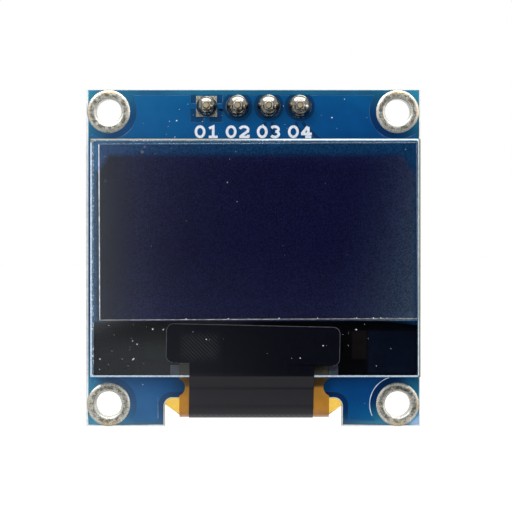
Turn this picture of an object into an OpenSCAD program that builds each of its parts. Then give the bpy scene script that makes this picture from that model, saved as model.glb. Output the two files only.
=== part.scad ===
// Small OLED display module: a glass display panel on a square circuit board,
// with a folded flex cable soldered to the board's rear face and a four pin header.
//
// The module is drawn lying flat, with its display facing +Z and the rear face
// of the board at Z = 0. Each node is then stood upright, so that the display
// faces -Y, the pins point along +Y and the header row is at the top (+Z).
// The origin is the centre of the four mounting holes on the board's rear face.

/* [Circuit board] */
// Width of the board
board_w = 27.3; // [26.8:0.1:32]
// Height of the board
board_h = 27.5; // [27:0.1:32]
// Thickness of the board
board_t = 1.2; // [0.8:0.1:1.6]
// Thickness of the plated copper pads on each face
pad_t = 0.05; // [0.03:0.01:0.1]
// Thickness of the plating inside a hole
plating_t = 0.04; // [0.02:0.01:0.08]

/* [Mounting holes] */
// Diameter of each mounting hole, inside its plating
hole_d = 2.1; // [1.6:0.1:2.4]
// Outer diameter of the plated ring round each hole
ring_d = 3.5; // [3:0.1:3.6]
// Distance of a hole's centre from the board's left or right edge
hole_inset_x = 1.85; // [1.8:0.05:2.2]
// Distance of a hole's centre from the board's top or bottom edge
hole_inset_y = 1.8; // [1.8:0.05:2.1]

/* [Notch for the flex cable] */
// Width of the notch in the board's bottom edge
notch_w = 14.5; // [13:0.1:16]
// Depth of the notch
notch_depth = 2.3; // [2:0.1:3]
// Radius of the notch's inner corners
notch_r = 0.65; // [0.3:0.05:1.2]

/* [Pin header] */
// Number of pins
pin_count = 4; // [2:1:4]
// Distance from one pin to the next
pin_pitch = 2.54; // [2.4:0.02:2.8]
// Width of a square pin
pin_w = 0.64; // [0.5:0.02:0.7]
// Distance of the pin row from the board's top edge
header_inset = 1.37; // [1.3:0.01:1.8]
// Thickness of the moulded housing, measured along the pins
housing_t = 2.54; // [2:0.02:3]
// Width of the housing across the pin row
housing_w = 2.54; // [2.3:0.02:2.6]
// Corner chamfer of each housing segment
housing_chamfer = 0.45; // [0.2:0.05:0.7]
// Length of a pin behind the housing
pin_long = 6; // [4:0.1:12]
// Height of a pin's cut tip above the board's front face
pin_tail = 1.35; // [1.25:0.05:1.8]
// Chamfer at a pin's long end
pin_chamfer = 0.18; // [0.1:0.01:0.25]
// Diameter of the plated hole of a pin
pin_bore_d = 1; // [0.96:0.02:1.1]
// Diameter of a round pin pad
pin_pad_d = 1.9; // [1.6:0.05:2]
// Width of the square pad of the first pin
first_pad_w = 1.7; // [1.5:0.05:1.9]
// Height of the solder ball above a pin's pad
solder_h = 1.1; // [0.8:0.05:1.2]

/* [Display glass] */
// Width of the front glass
glass_w = 26.7; // [25:0.1:28]
// Height of the front glass
glass_h = 19.26; // [18.5:0.02:19.5]
// Thickness of the front glass
glass_t = 0.7; // [0.5:0.05:1.1]
// Bevel along the front edges of the glass
glass_bevel = 0.14; // [0.05:0.01:0.25]
// Sideways shift of the glass from the middle of the board
glass_shift = 0.185; // [0:0.005:0.3]
// How far the rear glass reaches below the polarizer
cap_margin = 0.12; // [0.05:0.01:0.4]
// Thickness of the rear glass
cap_t = 0.5; // [0.4:0.05:0.7]
// Depth of the hollow etched into the rear glass
cap_hollow = 0.25; // [0.1:0.05:0.3]
// Gap between the two glasses, which the seal fills
cell_gap = 0.05; // [0.04:0.01:0.1]
// Width of the seal round the edge of the rear glass
seal_w = 0.85; // [0.5:0.05:0.85]
// Thickness of the light emitting layer
pixel_t = 0.03; // [0.02:0.01:0.03]
// Free margin of the light emitting layer beside the edge of the glass
pixel_margin_x = 0.9; // [0.87:0.01:1.5]
// Free margin above the light emitting layer
pixel_margin_top = 1.47; // [1:0.01:2]
// Free margin below the light emitting layer
pixel_margin_bottom = 0.95; // [0.87:0.01:1.2]
// Width of the step cut out of each upper corner of the light emitting layer
pixel_step_w = 1.05; // [0.5:0.05:1.5]
// Height of that step
pixel_step_h = 1.8; // [1:0.1:2.5]
// Free border round the drying sheet in the hollow
drying_border = 0.6; // [0.3:0.1:1]
// Thickness of the drying sheet
drying_t = 0.15; // [0.05:0.01:0.2]
// Thickness of the foam tape that holds the display on the board
tape_t = 0.4; // [0.3:0.05:0.6]
// Distance of the foam tape inside the edge of the rear glass
tape_inset = 0.9; // [0.5:0.1:2]

/* [Polarizer] */
// Height of the polarizer film
polarizer_h = 14.25; // [13:0.05:15.5]
// Thickness of the polarizer film
polarizer_t = 0.2; // [0.1:0.05:0.3]
// Distance of the film's left edge from the edge of the glass
polarizer_inset_left = 0.72; // [0.4:0.02:1]
// Distance of the film's right edge from the edge of the glass
polarizer_inset_right = 0.28; // [0.2:0.02:0.4]
// Distance of the film's top edge from the edge of the glass
polarizer_inset_top = 0.36; // [0.2:0.02:0.6]
// Slant with which the film was laid on, in degrees
polarizer_turn = 0.3; // [0:0.1:0.5]

/* [Driver chip and the ledge] */
// Length of the driver chip
chip_l = 10.2; // [8:0.1:11]
// Width of the driver chip
chip_w = 1.25; // [1:0.05:1.4]
// Thickness of the driver chip
chip_t = 0.3; // [0.2:0.05:0.4]
// Gap that the foam leaves round the chip, the glue and the flex cable
foam_gap = 0.08; // [0.04:0.01:0.1]
// Distance of the foam inside the left and right edges of the glass
foam_inset = 0.2; // [0.05:0.05:0.5]
// How far the foam's top edge drops at its left end
foam_drop_left = 0.15; // [0:0.01:0.4]
// How far the foam's top edge drops at its right end
foam_drop_right = 0.3; // [0:0.01:0.4]
// Length of each dropping end
foam_taper = 2.8; // [1:0.1:4]

/* [Black shield tape] */
// Thickness of the tape
shield_t = 0.05; // [0.03:0.01:0.08]
// Length of the tape's head, which covers the chip from the front
head_l = 14; // [13:0.1:14.5]
// Gap between the polarizer and the tape's head
head_gap = 0.48; // [0.3:0.02:0.8]
// Distance of the head's lower edge above the bottom edge of the glass
head_up = 1.05; // [0.6:0.05:1.2]
// Corner radius of the head
head_r = 0.55; // [0.2:0.05:0.65]
// Width of the tape's tail, which runs down the flex cable
tail_w = 10.1; // [8:0.1:10.6]
// Sideways shift of the tail from the middle of the head
tail_shift = -0.05; // [-0.2:0.01:0.2]
// Slant with which the tape was laid on, in degrees
shield_turn = 1.3; // [0:0.1:1.5]
// How far below the glass the tape meets the flex cable
apron_l = 0.9; // [0.6:0.05:1.2]
// Length of the tape on the rear of the flex cable
tail_rear_l = 3.1; // [2:0.1:3.2]

/* [Flex cable] */
// Thickness of the flex cable
flex_t = 0.1; // [0.07:0.01:0.12]
// Width of the flex cable at the glass and round the fold
flex_w = 12.17; // [11:0.01:12.5]
// Sideways shift of the flex cable from the middle of the board
flex_shift = 0.085; // [0:0.005:0.2]
// How far the flex cable reaches under the glass
flex_bond = 1.1; // [0.9:0.05:1.2]
// Thickness of the bonding film between the glass and the flex cable
bond_t = 0.03; // [0.02:0.01:0.04]
// Length of the bonding film
bond_l = 1; // [0.5:0.05:1.1]
// Distance of the fold's outermost point inside the board's bottom edge
fold_inset = 0.69; // [0.4:0.01:0.9]
// Depth of the rounded notch in each edge of the flex cable
edge_notch_depth = 0.47; // [0.2:0.01:0.6]
// Height of that notch
edge_notch_h = 1.36; // [1:0.02:1.6]
// Distance of that notch's middle below the glass
edge_notch_down = 0.87; // [0.8:0.01:1]
// Width of the flex cable at its soldered end
flex_end_w = 18.6; // [18.4:0.1:20]
// Length of the flex cable on the rear of the board
flex_rear_l = 6; // [5.6:0.1:7]
// Slope of the shoulders where the flex cable widens, in degrees
shoulder_slope = 32.3; // [20:0.1:40]
// Gap between a shoulder and the side of the board's notch
shoulder_clearance = 0.06; // [0.03:0.01:0.2]
// Width of the glue bead round the end of the flex cable under the glass
bead_w = 13.6; // [13:0.1:14]
// Height of that bead above the bottom edge of the glass
bead_h = 0.95; // [0.6:0.01:1]
// Thickness of that bead
bead_t = 0.2; // [0.16:0.01:0.3]

/* [Flex cable joints] */
// Number of soldered joints
joint_count = 30; // [20:1:30]
// Distance from one joint to the next
joint_pitch = 0.62; // [0.6:0.01:0.62]
// Width of a pad under the flex cable
joint_pad_w = 0.36; // [0.3:0.01:0.4]
// Length of a pad under the flex cable
joint_pad_l = 2.2; // [1.8:0.1:2.4]
// How far the pads reach past the end of the flex cable
joint_pad_out = 0.7; // [0.5:0.05:0.9]
// Width of the solder on a joint
joint_w = 0.32; // [0.24:0.01:0.36]
// Length of the solder on the flex cable
joint_l = 1.5; // [1:0.1:1.8]
// Height of the solder above the flex cable
joint_h = 0.16; // [0.1:0.01:0.25]

/* [Small components] */
// Length of a chip resistor or capacitor
chip_part_l = 1.6; // [1.5:0.05:1.8]
// Width of a chip resistor or capacitor
chip_part_w = 0.8; // [0.7:0.05:0.9]
// Thickness of a chip resistor
resistor_t = 0.45; // [0.35:0.05:0.6]
// Thickness of a chip capacitor
capacitor_t = 0.8; // [0.6:0.05:1]
// Length of each metal end of a chip part
end_l = 0.3; // [0.2:0.05:0.4]
// How far the metal ends stand out from the body
end_step = 0.02; // [0.01:0.01:0.04]
// How far a pad reaches past the end of a chip part
pad_out = 0.35; // [0.25:0.05:0.45]
// How far a pad reaches under a chip part
pad_in = 0.4; // [0.3:0.05:0.5]
// Height and reach of the solder at the end of a chip part
fillet = 0.28; // [0.15:0.01:0.3]
// Length of the regulator's body
regulator_l = 2.9; // [2.7:0.1:3.1]
// Width of the regulator's body
regulator_w = 1.3; // [1.2:0.1:1.5]
// Thickness of the regulator's body
regulator_t = 1; // [0.8:0.1:1.2]
// Gap between the regulator's body and the board's pads
regulator_lift = 0.1; // [0.05:0.01:0.15]
// Distance between the regulator's two outer legs
leg_pitch = 1.9; // [1.7:0.05:2]
// Width of a leg
leg_w = 0.4; // [0.3:0.02:0.5]
// Thickness of a leg
leg_t = 0.14; // [0.1:0.01:0.18]
// Reach of a leg from the body
leg_reach = 0.55; // [0.5:0.05:0.7]

/* [Hidden] */
$fn = 64;
RESISTOR_COUNT = 7;
CAPACITOR_COUNT = 9;

// Middle and turn of each chip part on the rear face, seen from the front.
RESISTOR_PLACES = [
    [1.27, 8.2, 90],
    [3.81, 8.2, 90],
    [8.6, 6.3, 0],
    [7.5, -2.4, 90],
    [5.3, -2.4, 90],
    [-1.1, 4.9, 0],
    [-1.1, 3.1, 0]
];
CAPACITOR_PLACES = [
    [-9.9, 6.3, 90],
    [-3.8, 6.3, 90],
    [-7.9, -2.4, 90],
    [-5.7, -2.4, 90],
    [-3.5, -2.4, 90],
    [-1.3, -2.4, 90],
    [0.9, -2.4, 90],
    [3.1, -2.4, 90],
    [3.4, 4, 90]
];
// Pads of the address link that carry no part.
SPARE_PLACE = [8.6, 4.5, 0];
REGULATOR_PLACE = [-6.9, 6.3];

hole_x = board_w / 2 - hole_inset_x;
hole_y = board_h / 2 - hole_inset_y;
header_y = board_h / 2 - header_inset;

// Levels through the module, from the rear face of the board to the display.
cap_rear_z = board_t + tape_t;
cap_front_z = cap_rear_z + cap_t;
glass_rear_z = cap_front_z + cell_gap;
glass_front_z = glass_rear_z + glass_t;
pin_base_z = board_t + pad_t;
housing_front_z = -pad_t;
part_z = -pad_t;

glass_bottom = -glass_h / 2;
polarizer_w = glass_w - polarizer_inset_left - polarizer_inset_right;
polarizer_x = glass_shift + (polarizer_inset_left - polarizer_inset_right) / 2;
polarizer_y = glass_h / 2 - polarizer_inset_top - polarizer_h / 2;
polarizer_bottom = polarizer_y - polarizer_h / 2;
cap_bottom = polarizer_bottom - cap_margin;
cap_h = glass_h / 2 - cap_bottom;
cap_y = cap_bottom + cap_h / 2;

// The head of the shield tape fills the ledge between the polarizer and the flex cable.
head_top = polarizer_bottom - head_gap;
head_bottom = glass_bottom + head_up;
head_w = head_top - head_bottom;
head_y = (head_top + head_bottom) / 2;

// The flex cable's front run lies under the glass, and its rear run on the pads.
flex_front_z = glass_rear_z - bond_t;
flex_rear_z = -pad_t - flex_t;
fold_outer_r = (flex_front_z - flex_rear_z) / 2;
fold_inner_r = fold_outer_r - flex_t;
fold_z = (flex_front_z + flex_rear_z) / 2;
fold_bottom = -board_h / 2 + fold_inset;
fold_y = fold_bottom + shield_t + fold_outer_r;
flex_top = glass_bottom + flex_bond;
flex_end = fold_y + flex_rear_l;
// The shoulders widen past the notch only where the fold has left the board's thickness.
fold_clear_y = fold_y - sqrt(fold_inner_r * fold_inner_r - fold_z * fold_z);
neck_side = flex_w / 2 + abs(flex_shift);
shoulder_room = notch_w / 2 - shoulder_clearance - neck_side;
shoulder_y = fold_clear_y - shoulder_room * tan(shoulder_slope);
shoulder_rise = (flex_end_w - flex_w) / 2 * tan(shoulder_slope);

// A cut that runs well past what it cuts.
PAST = 1;

// Turns a flat shape so that the module stands upright.
module upright() {
    rotate([90, 0, 0])
        children();
}

function pin_x(i) = (i - (pin_count - 1) / 2) * pin_pitch;
function joint_x(i) = flex_shift + (i - (joint_count - 1) / 2) * joint_pitch;

// A slab between two levels, from a flat outline.
module slab(low, high) {
    translate([0, 0, low])
        linear_extrude(high - low)
            children();
}

// A rectangle given by its middle and its sides.
module pane(w, h) {
    square([w, h], center = true);
}

// A rectangle with rounded corners.
module rounded_pane(w, h, r) {
    square([w - 2 * r, h], center = true);
    square([w, h - 2 * r], center = true);
    for (x = [-1, 1], y = [-1, 1])
        translate([x * (w / 2 - r), y * (h / 2 - r)])
            circle(r);
}

// ---- Circuit board ----

// The notch opens downwards through y = 0 and has rounded inner corners.
module notch_outline() {
    translate([-notch_w / 2, -PAST])
        square([notch_w, notch_depth - notch_r + PAST]);
    translate([-notch_w / 2 + notch_r, -PAST])
        square([notch_w - 2 * notch_r, notch_depth + PAST]);
    for (side = [-1, 1])
        translate([side * (notch_w / 2 - notch_r), notch_depth - notch_r])
            circle(notch_r);
}

module board_outline() {
    difference() {
        pane(board_w, board_h);
        translate([0, -board_h / 2])
            notch_outline();
        for (x = [-1, 1], y = [-1, 1])
            translate([x * hole_x, y * hole_y])
                circle(d = hole_d + 2 * plating_t);
        for (i = [0:pin_count - 1])
            translate([pin_x(i), header_y])
                circle(d = pin_bore_d + 2 * plating_t);
    }
}

module circuit_board() {
    color("#0b5688")
        upright()
            slab(0, board_t)
                board_outline();
}

// A plated hole: a thin barrel through the board with a flat ring on each face.
module plated_hole(ring_r, bore_r) {
    barrel_r = bore_r + plating_t;
    rotate_extrude()
        polygon([
            [bore_r, -pad_t],
            [ring_r, -pad_t],
            [ring_r, 0],
            [barrel_r, 0],
            [barrel_r, board_t],
            [ring_r, board_t],
            [ring_r, board_t + pad_t],
            [bore_r, board_t + pad_t]
        ]);
}

// Corner numbers run 1 top left, 2 top right, 3 bottom left, 4 bottom right.
module mounting_ring(i) {
    side = i % 2 == 0 ? -1 : 1;
    level = i < 2 ? 1 : -1;
    color("#b7b4a6")
        upright()
            translate([side * hole_x, level * hole_y, 0])
                plated_hole(ring_d / 2, hole_d / 2);
}

// The first pin has a square pad, which marks it.
module pin_pad(i) {
    color("#a8a79c")
        upright()
            translate([pin_x(i), header_y, 0])
                if (i == 0)
                    square_pad();
                else
                    plated_hole(pin_pad_d / 2, pin_bore_d / 2);
}

module square_pad() {
    difference() {
        union() {
            for (z = [-pad_t, board_t])
                slab(z, z + pad_t)
                    pane(first_pad_w, first_pad_w);
            cylinder(d = pin_bore_d + 2 * plating_t, h = board_t);
        }
        translate([0, 0, -PAST])
            cylinder(d = pin_bore_d, h = board_t + 2 * PAST);
    }
}

// ---- Pin header ----

// Side view of a pin: the front tip is cut flat, the long end is chamfered.
module pin_profile() {
    half = pin_w / 2;
    tip = half - pin_chamfer;
    front = board_t + pin_tail;
    rear = housing_front_z - housing_t - pin_long;
    rotate([90, 0, 0])
        linear_extrude(pin_w, center = true)
            polygon([
                [-half, front],
                [-half, rear + pin_chamfer],
                [-tip, rear],
                [tip, rear],
                [half, rear + pin_chamfer],
                [half, front]
            ]);
}

module header_pin(i) {
    color("#c9b37a")
        upright()
            translate([pin_x(i), header_y, 0])
                intersection() {
                    pin_profile();
                    rotate([0, 0, 90])
                        pin_profile();
                }
}

// A ball of solder on the pad, a filling in the plated hole, and the pin through both.
module pin_solder(i) {
    base_r = i == 0 ? first_pad_w / 2 : pin_pad_d / 2;
    ball_r = (base_r * base_r + solder_h * solder_h) / (2 * solder_h);
    color("#b9b6aa")
        upright()
            translate([pin_x(i), header_y, 0])
                difference() {
                    union() {
                        cylinder(d = pin_bore_d, h = pin_base_z);
                        intersection() {
                            translate([0, 0, pin_base_z + solder_h - ball_r])
                                sphere(ball_r);
                            translate([0, 0, pin_base_z])
                                cylinder(r = 2 * base_r, h = 2 * solder_h);
                        }
                    }
                    slab(-PAST, board_t + 2 * solder_h)
                        pane(pin_w, pin_w);
                }
}

// One moulded segment for each pin, with its corners cut off.
module housing_segment() {
    difference() {
        pane(pin_pitch, housing_w);
        for (x = [-1, 1], y = [-1, 1])
            translate([x * pin_pitch / 2, y * housing_w / 2])
                rotate(45)
                    pane(housing_chamfer * sqrt(2), housing_chamfer * sqrt(2));
        pane(pin_w, pin_w);
    }
}

module header_housing() {
    color("#1b1b1d")
        upright()
            slab(housing_front_z - housing_t, housing_front_z)
                for (i = [0:pin_count - 1])
                    translate([pin_x(i), header_y])
                        housing_segment();
}

// ---- Display ----

// Section of a plate whose front edges are bevelled, run along the other side.
module bevel_run(w, run, t, bevel) {
    rotate([90, 0, 0])
        linear_extrude(run, center = true)
            polygon([
                [-w / 2, 0],
                [w / 2, 0],
                [w / 2, t - bevel],
                [w / 2 - bevel, t],
                [-w / 2 + bevel, t],
                [-w / 2, t - bevel]
            ]);
}

module display_glass() {
    color("#c8def5", 0.35)
        upright()
            translate([glass_shift, 0, glass_rear_z])
                intersection() {
                    bevel_run(glass_w, glass_h, glass_t, glass_bevel);
                    rotate([0, 0, 90])
                        bevel_run(glass_h, glass_w, glass_t, glass_bevel);
                }
}

module cap_glass() {
    color("#b9d2e2", 0.5)
        upright()
            translate([glass_shift, cap_y, 0])
                difference() {
                    slab(cap_rear_z, cap_front_z)
                        pane(glass_w, cap_h);
                    slab(cap_front_z - cap_hollow, cap_front_z + PAST)
                        pane(glass_w - 2 * seal_w, cap_h - 2 * seal_w);
                }
}

module drying_sheet() {
    room_w = glass_w - 2 * seal_w;
    room_h = cap_h - 2 * seal_w;
    floor_z = cap_front_z - cap_hollow;
    color("#8d8a80")
        upright()
            translate([glass_shift, cap_y, 0])
                slab(floor_z, floor_z + drying_t)
                    pane(room_w - 2 * drying_border, room_h - 2 * drying_border);
}

module cell_seal() {
    color("#9fb4c2", 0.6)
        upright()
            translate([glass_shift, cap_y, 0])
                slab(cap_front_z, glass_rear_z)
                    difference() {
                        pane(glass_w, cap_h);
                        pane(glass_w - 2 * seal_w, cap_h - 2 * seal_w);
                    }
}

// The light emitting layer has a step in each upper corner.
module pixel_outline() {
    w = glass_w - 2 * pixel_margin_x;
    top = glass_h / 2 - pixel_margin_top;
    bottom = cap_bottom + pixel_margin_bottom;
    difference() {
        translate([-w / 2, bottom])
            square([w, top - bottom]);
        for (side = [-1, 1])
            translate([side * w / 2, top])
                pane(2 * pixel_step_w, 2 * pixel_step_h);
    }
}

module pixel_layer() {
    color("#15132f")
        upright()
            translate([glass_shift, 0, 0])
                slab(glass_rear_z - pixel_t, glass_rear_z)
                    pixel_outline();
}

module mounting_tape() {
    color("#16171b")
        upright()
            translate([glass_shift, cap_y, 0])
                slab(board_t, cap_rear_z)
                    pane(glass_w - 2 * tape_inset, cap_h - 2 * tape_inset);
}

module polarizer() {
    color("#1d1f31")
        upright()
            translate([polarizer_x, polarizer_y, 0])
                rotate([0, 0, polarizer_turn])
                    slab(glass_front_z, glass_front_z + polarizer_t)
                        pane(polarizer_w, polarizer_h);
}

// ---- Ledge of the display: driver chip, glue and foam behind the glass ----

module driver_chip() {
    color("#55585c")
        upright()
            slab(glass_rear_z - chip_t, glass_rear_z)
                chip_outline(0);
}

// Outline of the driver chip, grown by a gap on every side.
module chip_outline(gap) {
    translate([0, head_y])
        pane(chip_l + 2 * gap, chip_w + 2 * gap);
}

// The room that the flex cable and the bonding film take under the glass.
module flex_entry(gap) {
    slab(flex_front_z - flex_t - gap, glass_rear_z + PAST)
        translate([flex_shift - flex_w / 2 - gap, glass_bottom - PAST])
            square([flex_w + 2 * gap, flex_bond + PAST + gap]);
}

// Outline of the glue bead, seen from the front.
module bead_outline(gap) {
    translate([flex_shift - bead_w / 2 - gap, glass_bottom - PAST * sign(gap)])
        square([bead_w + 2 * gap, bead_h + gap + PAST * sign(gap)]);
}

module bond_bead() {
    color("#cfc7ae", 0.6)
        upright()
            difference() {
                slab(glass_rear_z - bead_t, glass_rear_z)
                    bead_outline(0);
                flex_entry(0);
            }
}

// The foam's top edge drops a little towards both ends.
module foam_outline() {
    half = glass_w / 2 - foam_inset;
    top = cap_bottom - foam_gap;
    difference() {
        translate([glass_shift, 0])
            polygon([
                [-half, glass_bottom],
                [half, glass_bottom],
                [half, top - foam_drop_right],
                [half - foam_taper, top],
                [-half + foam_taper, top],
                [-half, top - foam_drop_left]
            ]);
        for (x = [-1, 1])
            translate([x * hole_x, -hole_y])
                circle(ring_d / 2 + foam_gap);
    }
}

module ledge_foam() {
    color("#0c0d11")
        upright()
            difference() {
                slab(board_t, glass_rear_z)
                    foam_outline();
                slab(glass_rear_z - chip_t - foam_gap, glass_rear_z + PAST)
                    chip_outline(foam_gap);
                slab(glass_rear_z - bead_t - foam_gap, glass_rear_z + PAST)
                    bead_outline(foam_gap);
                flex_entry(foam_gap);
            }
}

// ---- Flex cable ----

// Outline of the front run: a straight neck with a rounded notch in each edge.
module neck_outline() {
    half = edge_notch_h / 2;
    r = (half * half + edge_notch_depth * edge_notch_depth) / (2 * edge_notch_depth);
    difference() {
        translate([-flex_w / 2, fold_bottom - PAST])
            square([flex_w, flex_top - fold_bottom + PAST]);
        for (side = [-1, 1])
            translate([
                side * (flex_w / 2 + r - edge_notch_depth),
                glass_bottom - edge_notch_down
            ])
                circle(r);
    }
}

// Outline of the rear run: the neck widens over two shoulders to the soldered end.
module shoulder_outline() {
    neck = flex_w / 2;
    wide = flex_end_w / 2;
    polygon([
        [-neck, fold_bottom - PAST],
        [neck, fold_bottom - PAST],
        [neck, shoulder_y],
        [wide, shoulder_y + shoulder_rise],
        [wide, flex_end],
        [-wide, flex_end],
        [-wide, shoulder_y + shoulder_rise],
        [-neck, shoulder_y]
    ]);
}

// Half a tube round the fold's axis, on the side away from the board.
module fold_shell() {
    r = fold_outer_r;
    difference() {
        translate([0, fold_y, fold_z])
            rotate([0, 90, 0])
                difference() {
                    cylinder(r = r, h = board_w, center = true);
                    cylinder(r = fold_inner_r, h = board_w + 2 * PAST, center = true);
                }
        translate([-board_w, fold_y, fold_z - 2 * r])
            cube([2 * board_w, 2 * r, 4 * r]);
    }
}

// The part of an outline that lies above the fold's axis.
module above_fold() {
    intersection() {
        children();
        translate([-board_w, fold_y])
            square([2 * board_w, board_h]);
    }
}

// The cable runs down from under the glass, round the fold and up the rear face.
module flex_cable() {
    color("#c1872b")
        upright()
            translate([flex_shift, 0, 0]) {
                slab(flex_front_z - flex_t, flex_front_z)
                    above_fold()
                        neck_outline();
                slab(flex_rear_z, flex_rear_z + flex_t)
                    above_fold()
                        shoulder_outline();
                intersection() {
                    fold_shell();
                    union() {
                        slab(fold_z, fold_z + 2 * fold_outer_r)
                            neck_outline();
                        slab(fold_z - 2 * fold_outer_r, fold_z)
                            shoulder_outline();
                    }
                }
            }
}

module bond_film() {
    color("#8a7f62")
        upright()
            slab(flex_front_z, glass_rear_z)
                translate([flex_shift - flex_w / 2, flex_top - bond_l])
                    square([flex_w, bond_l]);
}

module joint_pads() {
    color("#c4c2b6")
        upright()
            slab(-pad_t, 0)
                for (i = [0:joint_count - 1])
                    translate([
                        joint_x(i) - joint_pad_w / 2,
                        flex_end + joint_pad_out - joint_pad_l
                    ])
                        square([joint_pad_w, joint_pad_l]);
}

// Side view of a joint's solder: it lies on the flex cable and runs over its end to the pad.
module joint_profile() {
    foot = joint_pad_out * 0.9;
    top = flex_rear_z - joint_h;
    rotate([90, 0, 90])
        linear_extrude(joint_w, center = true)
            polygon([
                [-joint_l, flex_rear_z],
                [-joint_l + joint_h, top],
                [-joint_h, top],
                [foot, -pad_t],
                [0, -pad_t],
                [0, flex_rear_z]
            ]);
}

// The solder's back is rounded by a cylinder that lies along the joint.
module joint_solder() {
    drop = joint_h + flex_t;
    half = joint_w / 2;
    r = (half * half + drop * drop) / (2 * drop) + joint_w / 8;
    intersection() {
        joint_profile();
        translate([0, 0, flex_rear_z - joint_h + r])
            rotate([90, 0, 0])
                cylinder(r = r, h = 2 * joint_pad_l, center = true);
    }
}

module flex_solder() {
    color("#c9c8c2")
        upright()
            for (i = [0:joint_count - 1])
                translate([joint_x(i), flex_end, 0])
                    joint_solder();
}

// ---- Black shield tape ----

// Outline of the tape seen from the front: a broad head over a long tail.
module shield_outline() {
    translate([0, head_y])
        rotate(-shield_turn) {
            rounded_pane(head_l, head_w, head_r);
            translate([tail_shift - tail_w / 2, fold_bottom - head_y - PAST])
                square([tail_w, head_y - fold_bottom + PAST]);
        }
}

// Side view of the tape: on the glass, down over its edge to the flex cable,
// round the fold, and up the rear of the flex cable.
module shield_section() {
    r = fold_outer_r;
    edge = glass_bottom + glass_bevel;
    apron = glass_bottom - apron_l;
    polygon([
        [0, glass_front_z + shield_t],
        [edge, glass_front_z + shield_t],
        [apron, flex_front_z + shield_t],
        [fold_y, flex_front_z + shield_t],
        [fold_y, flex_front_z],
        [apron, flex_front_z],
        [edge, glass_front_z],
        [0, glass_front_z]
    ]);
    difference() {
        translate([fold_y, fold_z])
            circle(r + shield_t);
        translate([fold_y, fold_z])
            circle(r);
        translate([fold_y, fold_z - 2 * r])
            square([2 * r, 4 * r]);
    }
    translate([fold_y, fold_z - r - shield_t])
        square([tail_rear_l, shield_t]);
}

module shield_tape() {
    color("#2b2a30")
        upright()
            intersection() {
                rotate([90, 0, 90])
                    linear_extrude(board_w, center = true)
                        shield_section();
                slab(-board_h, board_h)
                    shield_outline();
            }
}

// ---- Small components on the rear face ----

// Places a shape at [x, y, turn], on top of the pads.
module at_place(place) {
    translate([place[0], place[1], part_z])
        rotate([0, 0, len(place) > 2 ? place[2] : 0])
            children();
}

// A chip part lies along X with its rear face down at -t, between two metal ends.
module chip_part(t) {
    slab(-t + end_step, -end_step)
        pane(chip_part_l - 2 * end_l, chip_part_w - 2 * end_step);
    for (side = [-1, 1])
        slab(-t, 0)
            translate([side * (chip_part_l - end_l) / 2, 0])
                pane(end_l, chip_part_w);
}

module resistor(i) {
    color("#222326")
        upright()
            at_place(RESISTOR_PLACES[i])
                chip_part(resistor_t);
}

module capacitor(i) {
    color("#a98a63")
        upright()
            at_place(CAPACITOR_PLACES[i])
                chip_part(capacitor_t);
}

// The two pads under a chip part.
module part_pads() {
    reach = pad_in + pad_out;
    for (side = [-1, 1])
        slab(0, pad_t)
            translate([side * (chip_part_l / 2 - pad_in + reach / 2), 0])
                pane(reach, chip_part_w + 4 * end_step);
}

// A hollow-faced strip of solder in the corner between a pad and an upright face at x = 0.
module solder_strip(w) {
    rotate([90, 0, 0])
        linear_extrude(w, center = true)
            difference() {
                translate([0, -fillet])
                    square(fillet);
                translate([fillet, -fillet])
                    circle(fillet);
            }
}

module part_solder() {
    for (side = [0, 180])
        rotate([0, 0, side])
            translate([chip_part_l / 2, 0, 0])
                solder_strip(chip_part_w);
}

// Feet of the regulator: two on its lower side and one on its upper side.
function foot_places() = [[-leg_pitch / 2, -1], [leg_pitch / 2, -1], [0, 1]];

// Places a shape at each foot, with +X pointing away from the body.
module at_feet() {
    for (foot = foot_places())
        translate([foot[0], foot[1] * regulator_w / 2, 0])
            rotate([0, 0, foot[1] * 90])
                children();
}

module component_pads() {
    color("#c4c2b6")
        upright() {
            for (place = concat(RESISTOR_PLACES, CAPACITOR_PLACES, [SPARE_PLACE]))
                at_place(place)
                    part_pads();
            at_place(REGULATOR_PLACE)
                at_feet()
                    slab(0, pad_t)
                        translate([leg_reach, 0])
                            pane(leg_reach + pad_out, leg_w * 2);
        }
}

module component_solder() {
    color("#c9c8c2")
        upright() {
            for (place = concat(RESISTOR_PLACES, CAPACITOR_PLACES))
                at_place(place)
                    part_solder();
            at_place(REGULATOR_PLACE)
                at_feet()
                    translate([leg_reach, 0, 0])
                        intersection() {
                            solder_strip(leg_w);
                            slab(-leg_t, 0)
                                pane(2 * fillet, leg_w);
                        }
        }
}

// The body's sides slope a little away from the flat band that its legs come out of.
module regulator_run(w, run) {
    low = -regulator_lift - regulator_t;
    mid = -regulator_lift - regulator_t / 2;
    band = leg_t / 2;
    slope = (regulator_t / 2 - band) * tan(7);
    rotate([90, 0, 0])
        linear_extrude(run, center = true)
            polygon([
                [-w / 2 + slope, low],
                [w / 2 - slope, low],
                [w / 2, mid - band],
                [w / 2, mid + band],
                [w / 2 - slope, -regulator_lift],
                [-w / 2 + slope, -regulator_lift],
                [-w / 2, mid + band],
                [-w / 2, mid - band]
            ]);
}

module regulator_body() {
    color("#232427")
        upright()
            at_place(REGULATOR_PLACE)
                intersection() {
                    regulator_run(regulator_l, regulator_w);
                    rotate([0, 0, 90])
                        regulator_run(regulator_w, regulator_l);
                }
}

// Side view of a leg: out of the body's parting line, down, and out along the pad.
module leg_profile() {
    mid = -regulator_lift - regulator_t / 2;
    bend = leg_reach * 0.45;
    polygon([
        [0, mid - leg_t / 2],
        [bend + leg_t, mid - leg_t / 2],
        [bend + leg_t, -leg_t],
        [leg_reach, -leg_t],
        [leg_reach, 0],
        [bend, 0],
        [bend, mid + leg_t / 2],
        [0, mid + leg_t / 2]
    ]);
}

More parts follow.
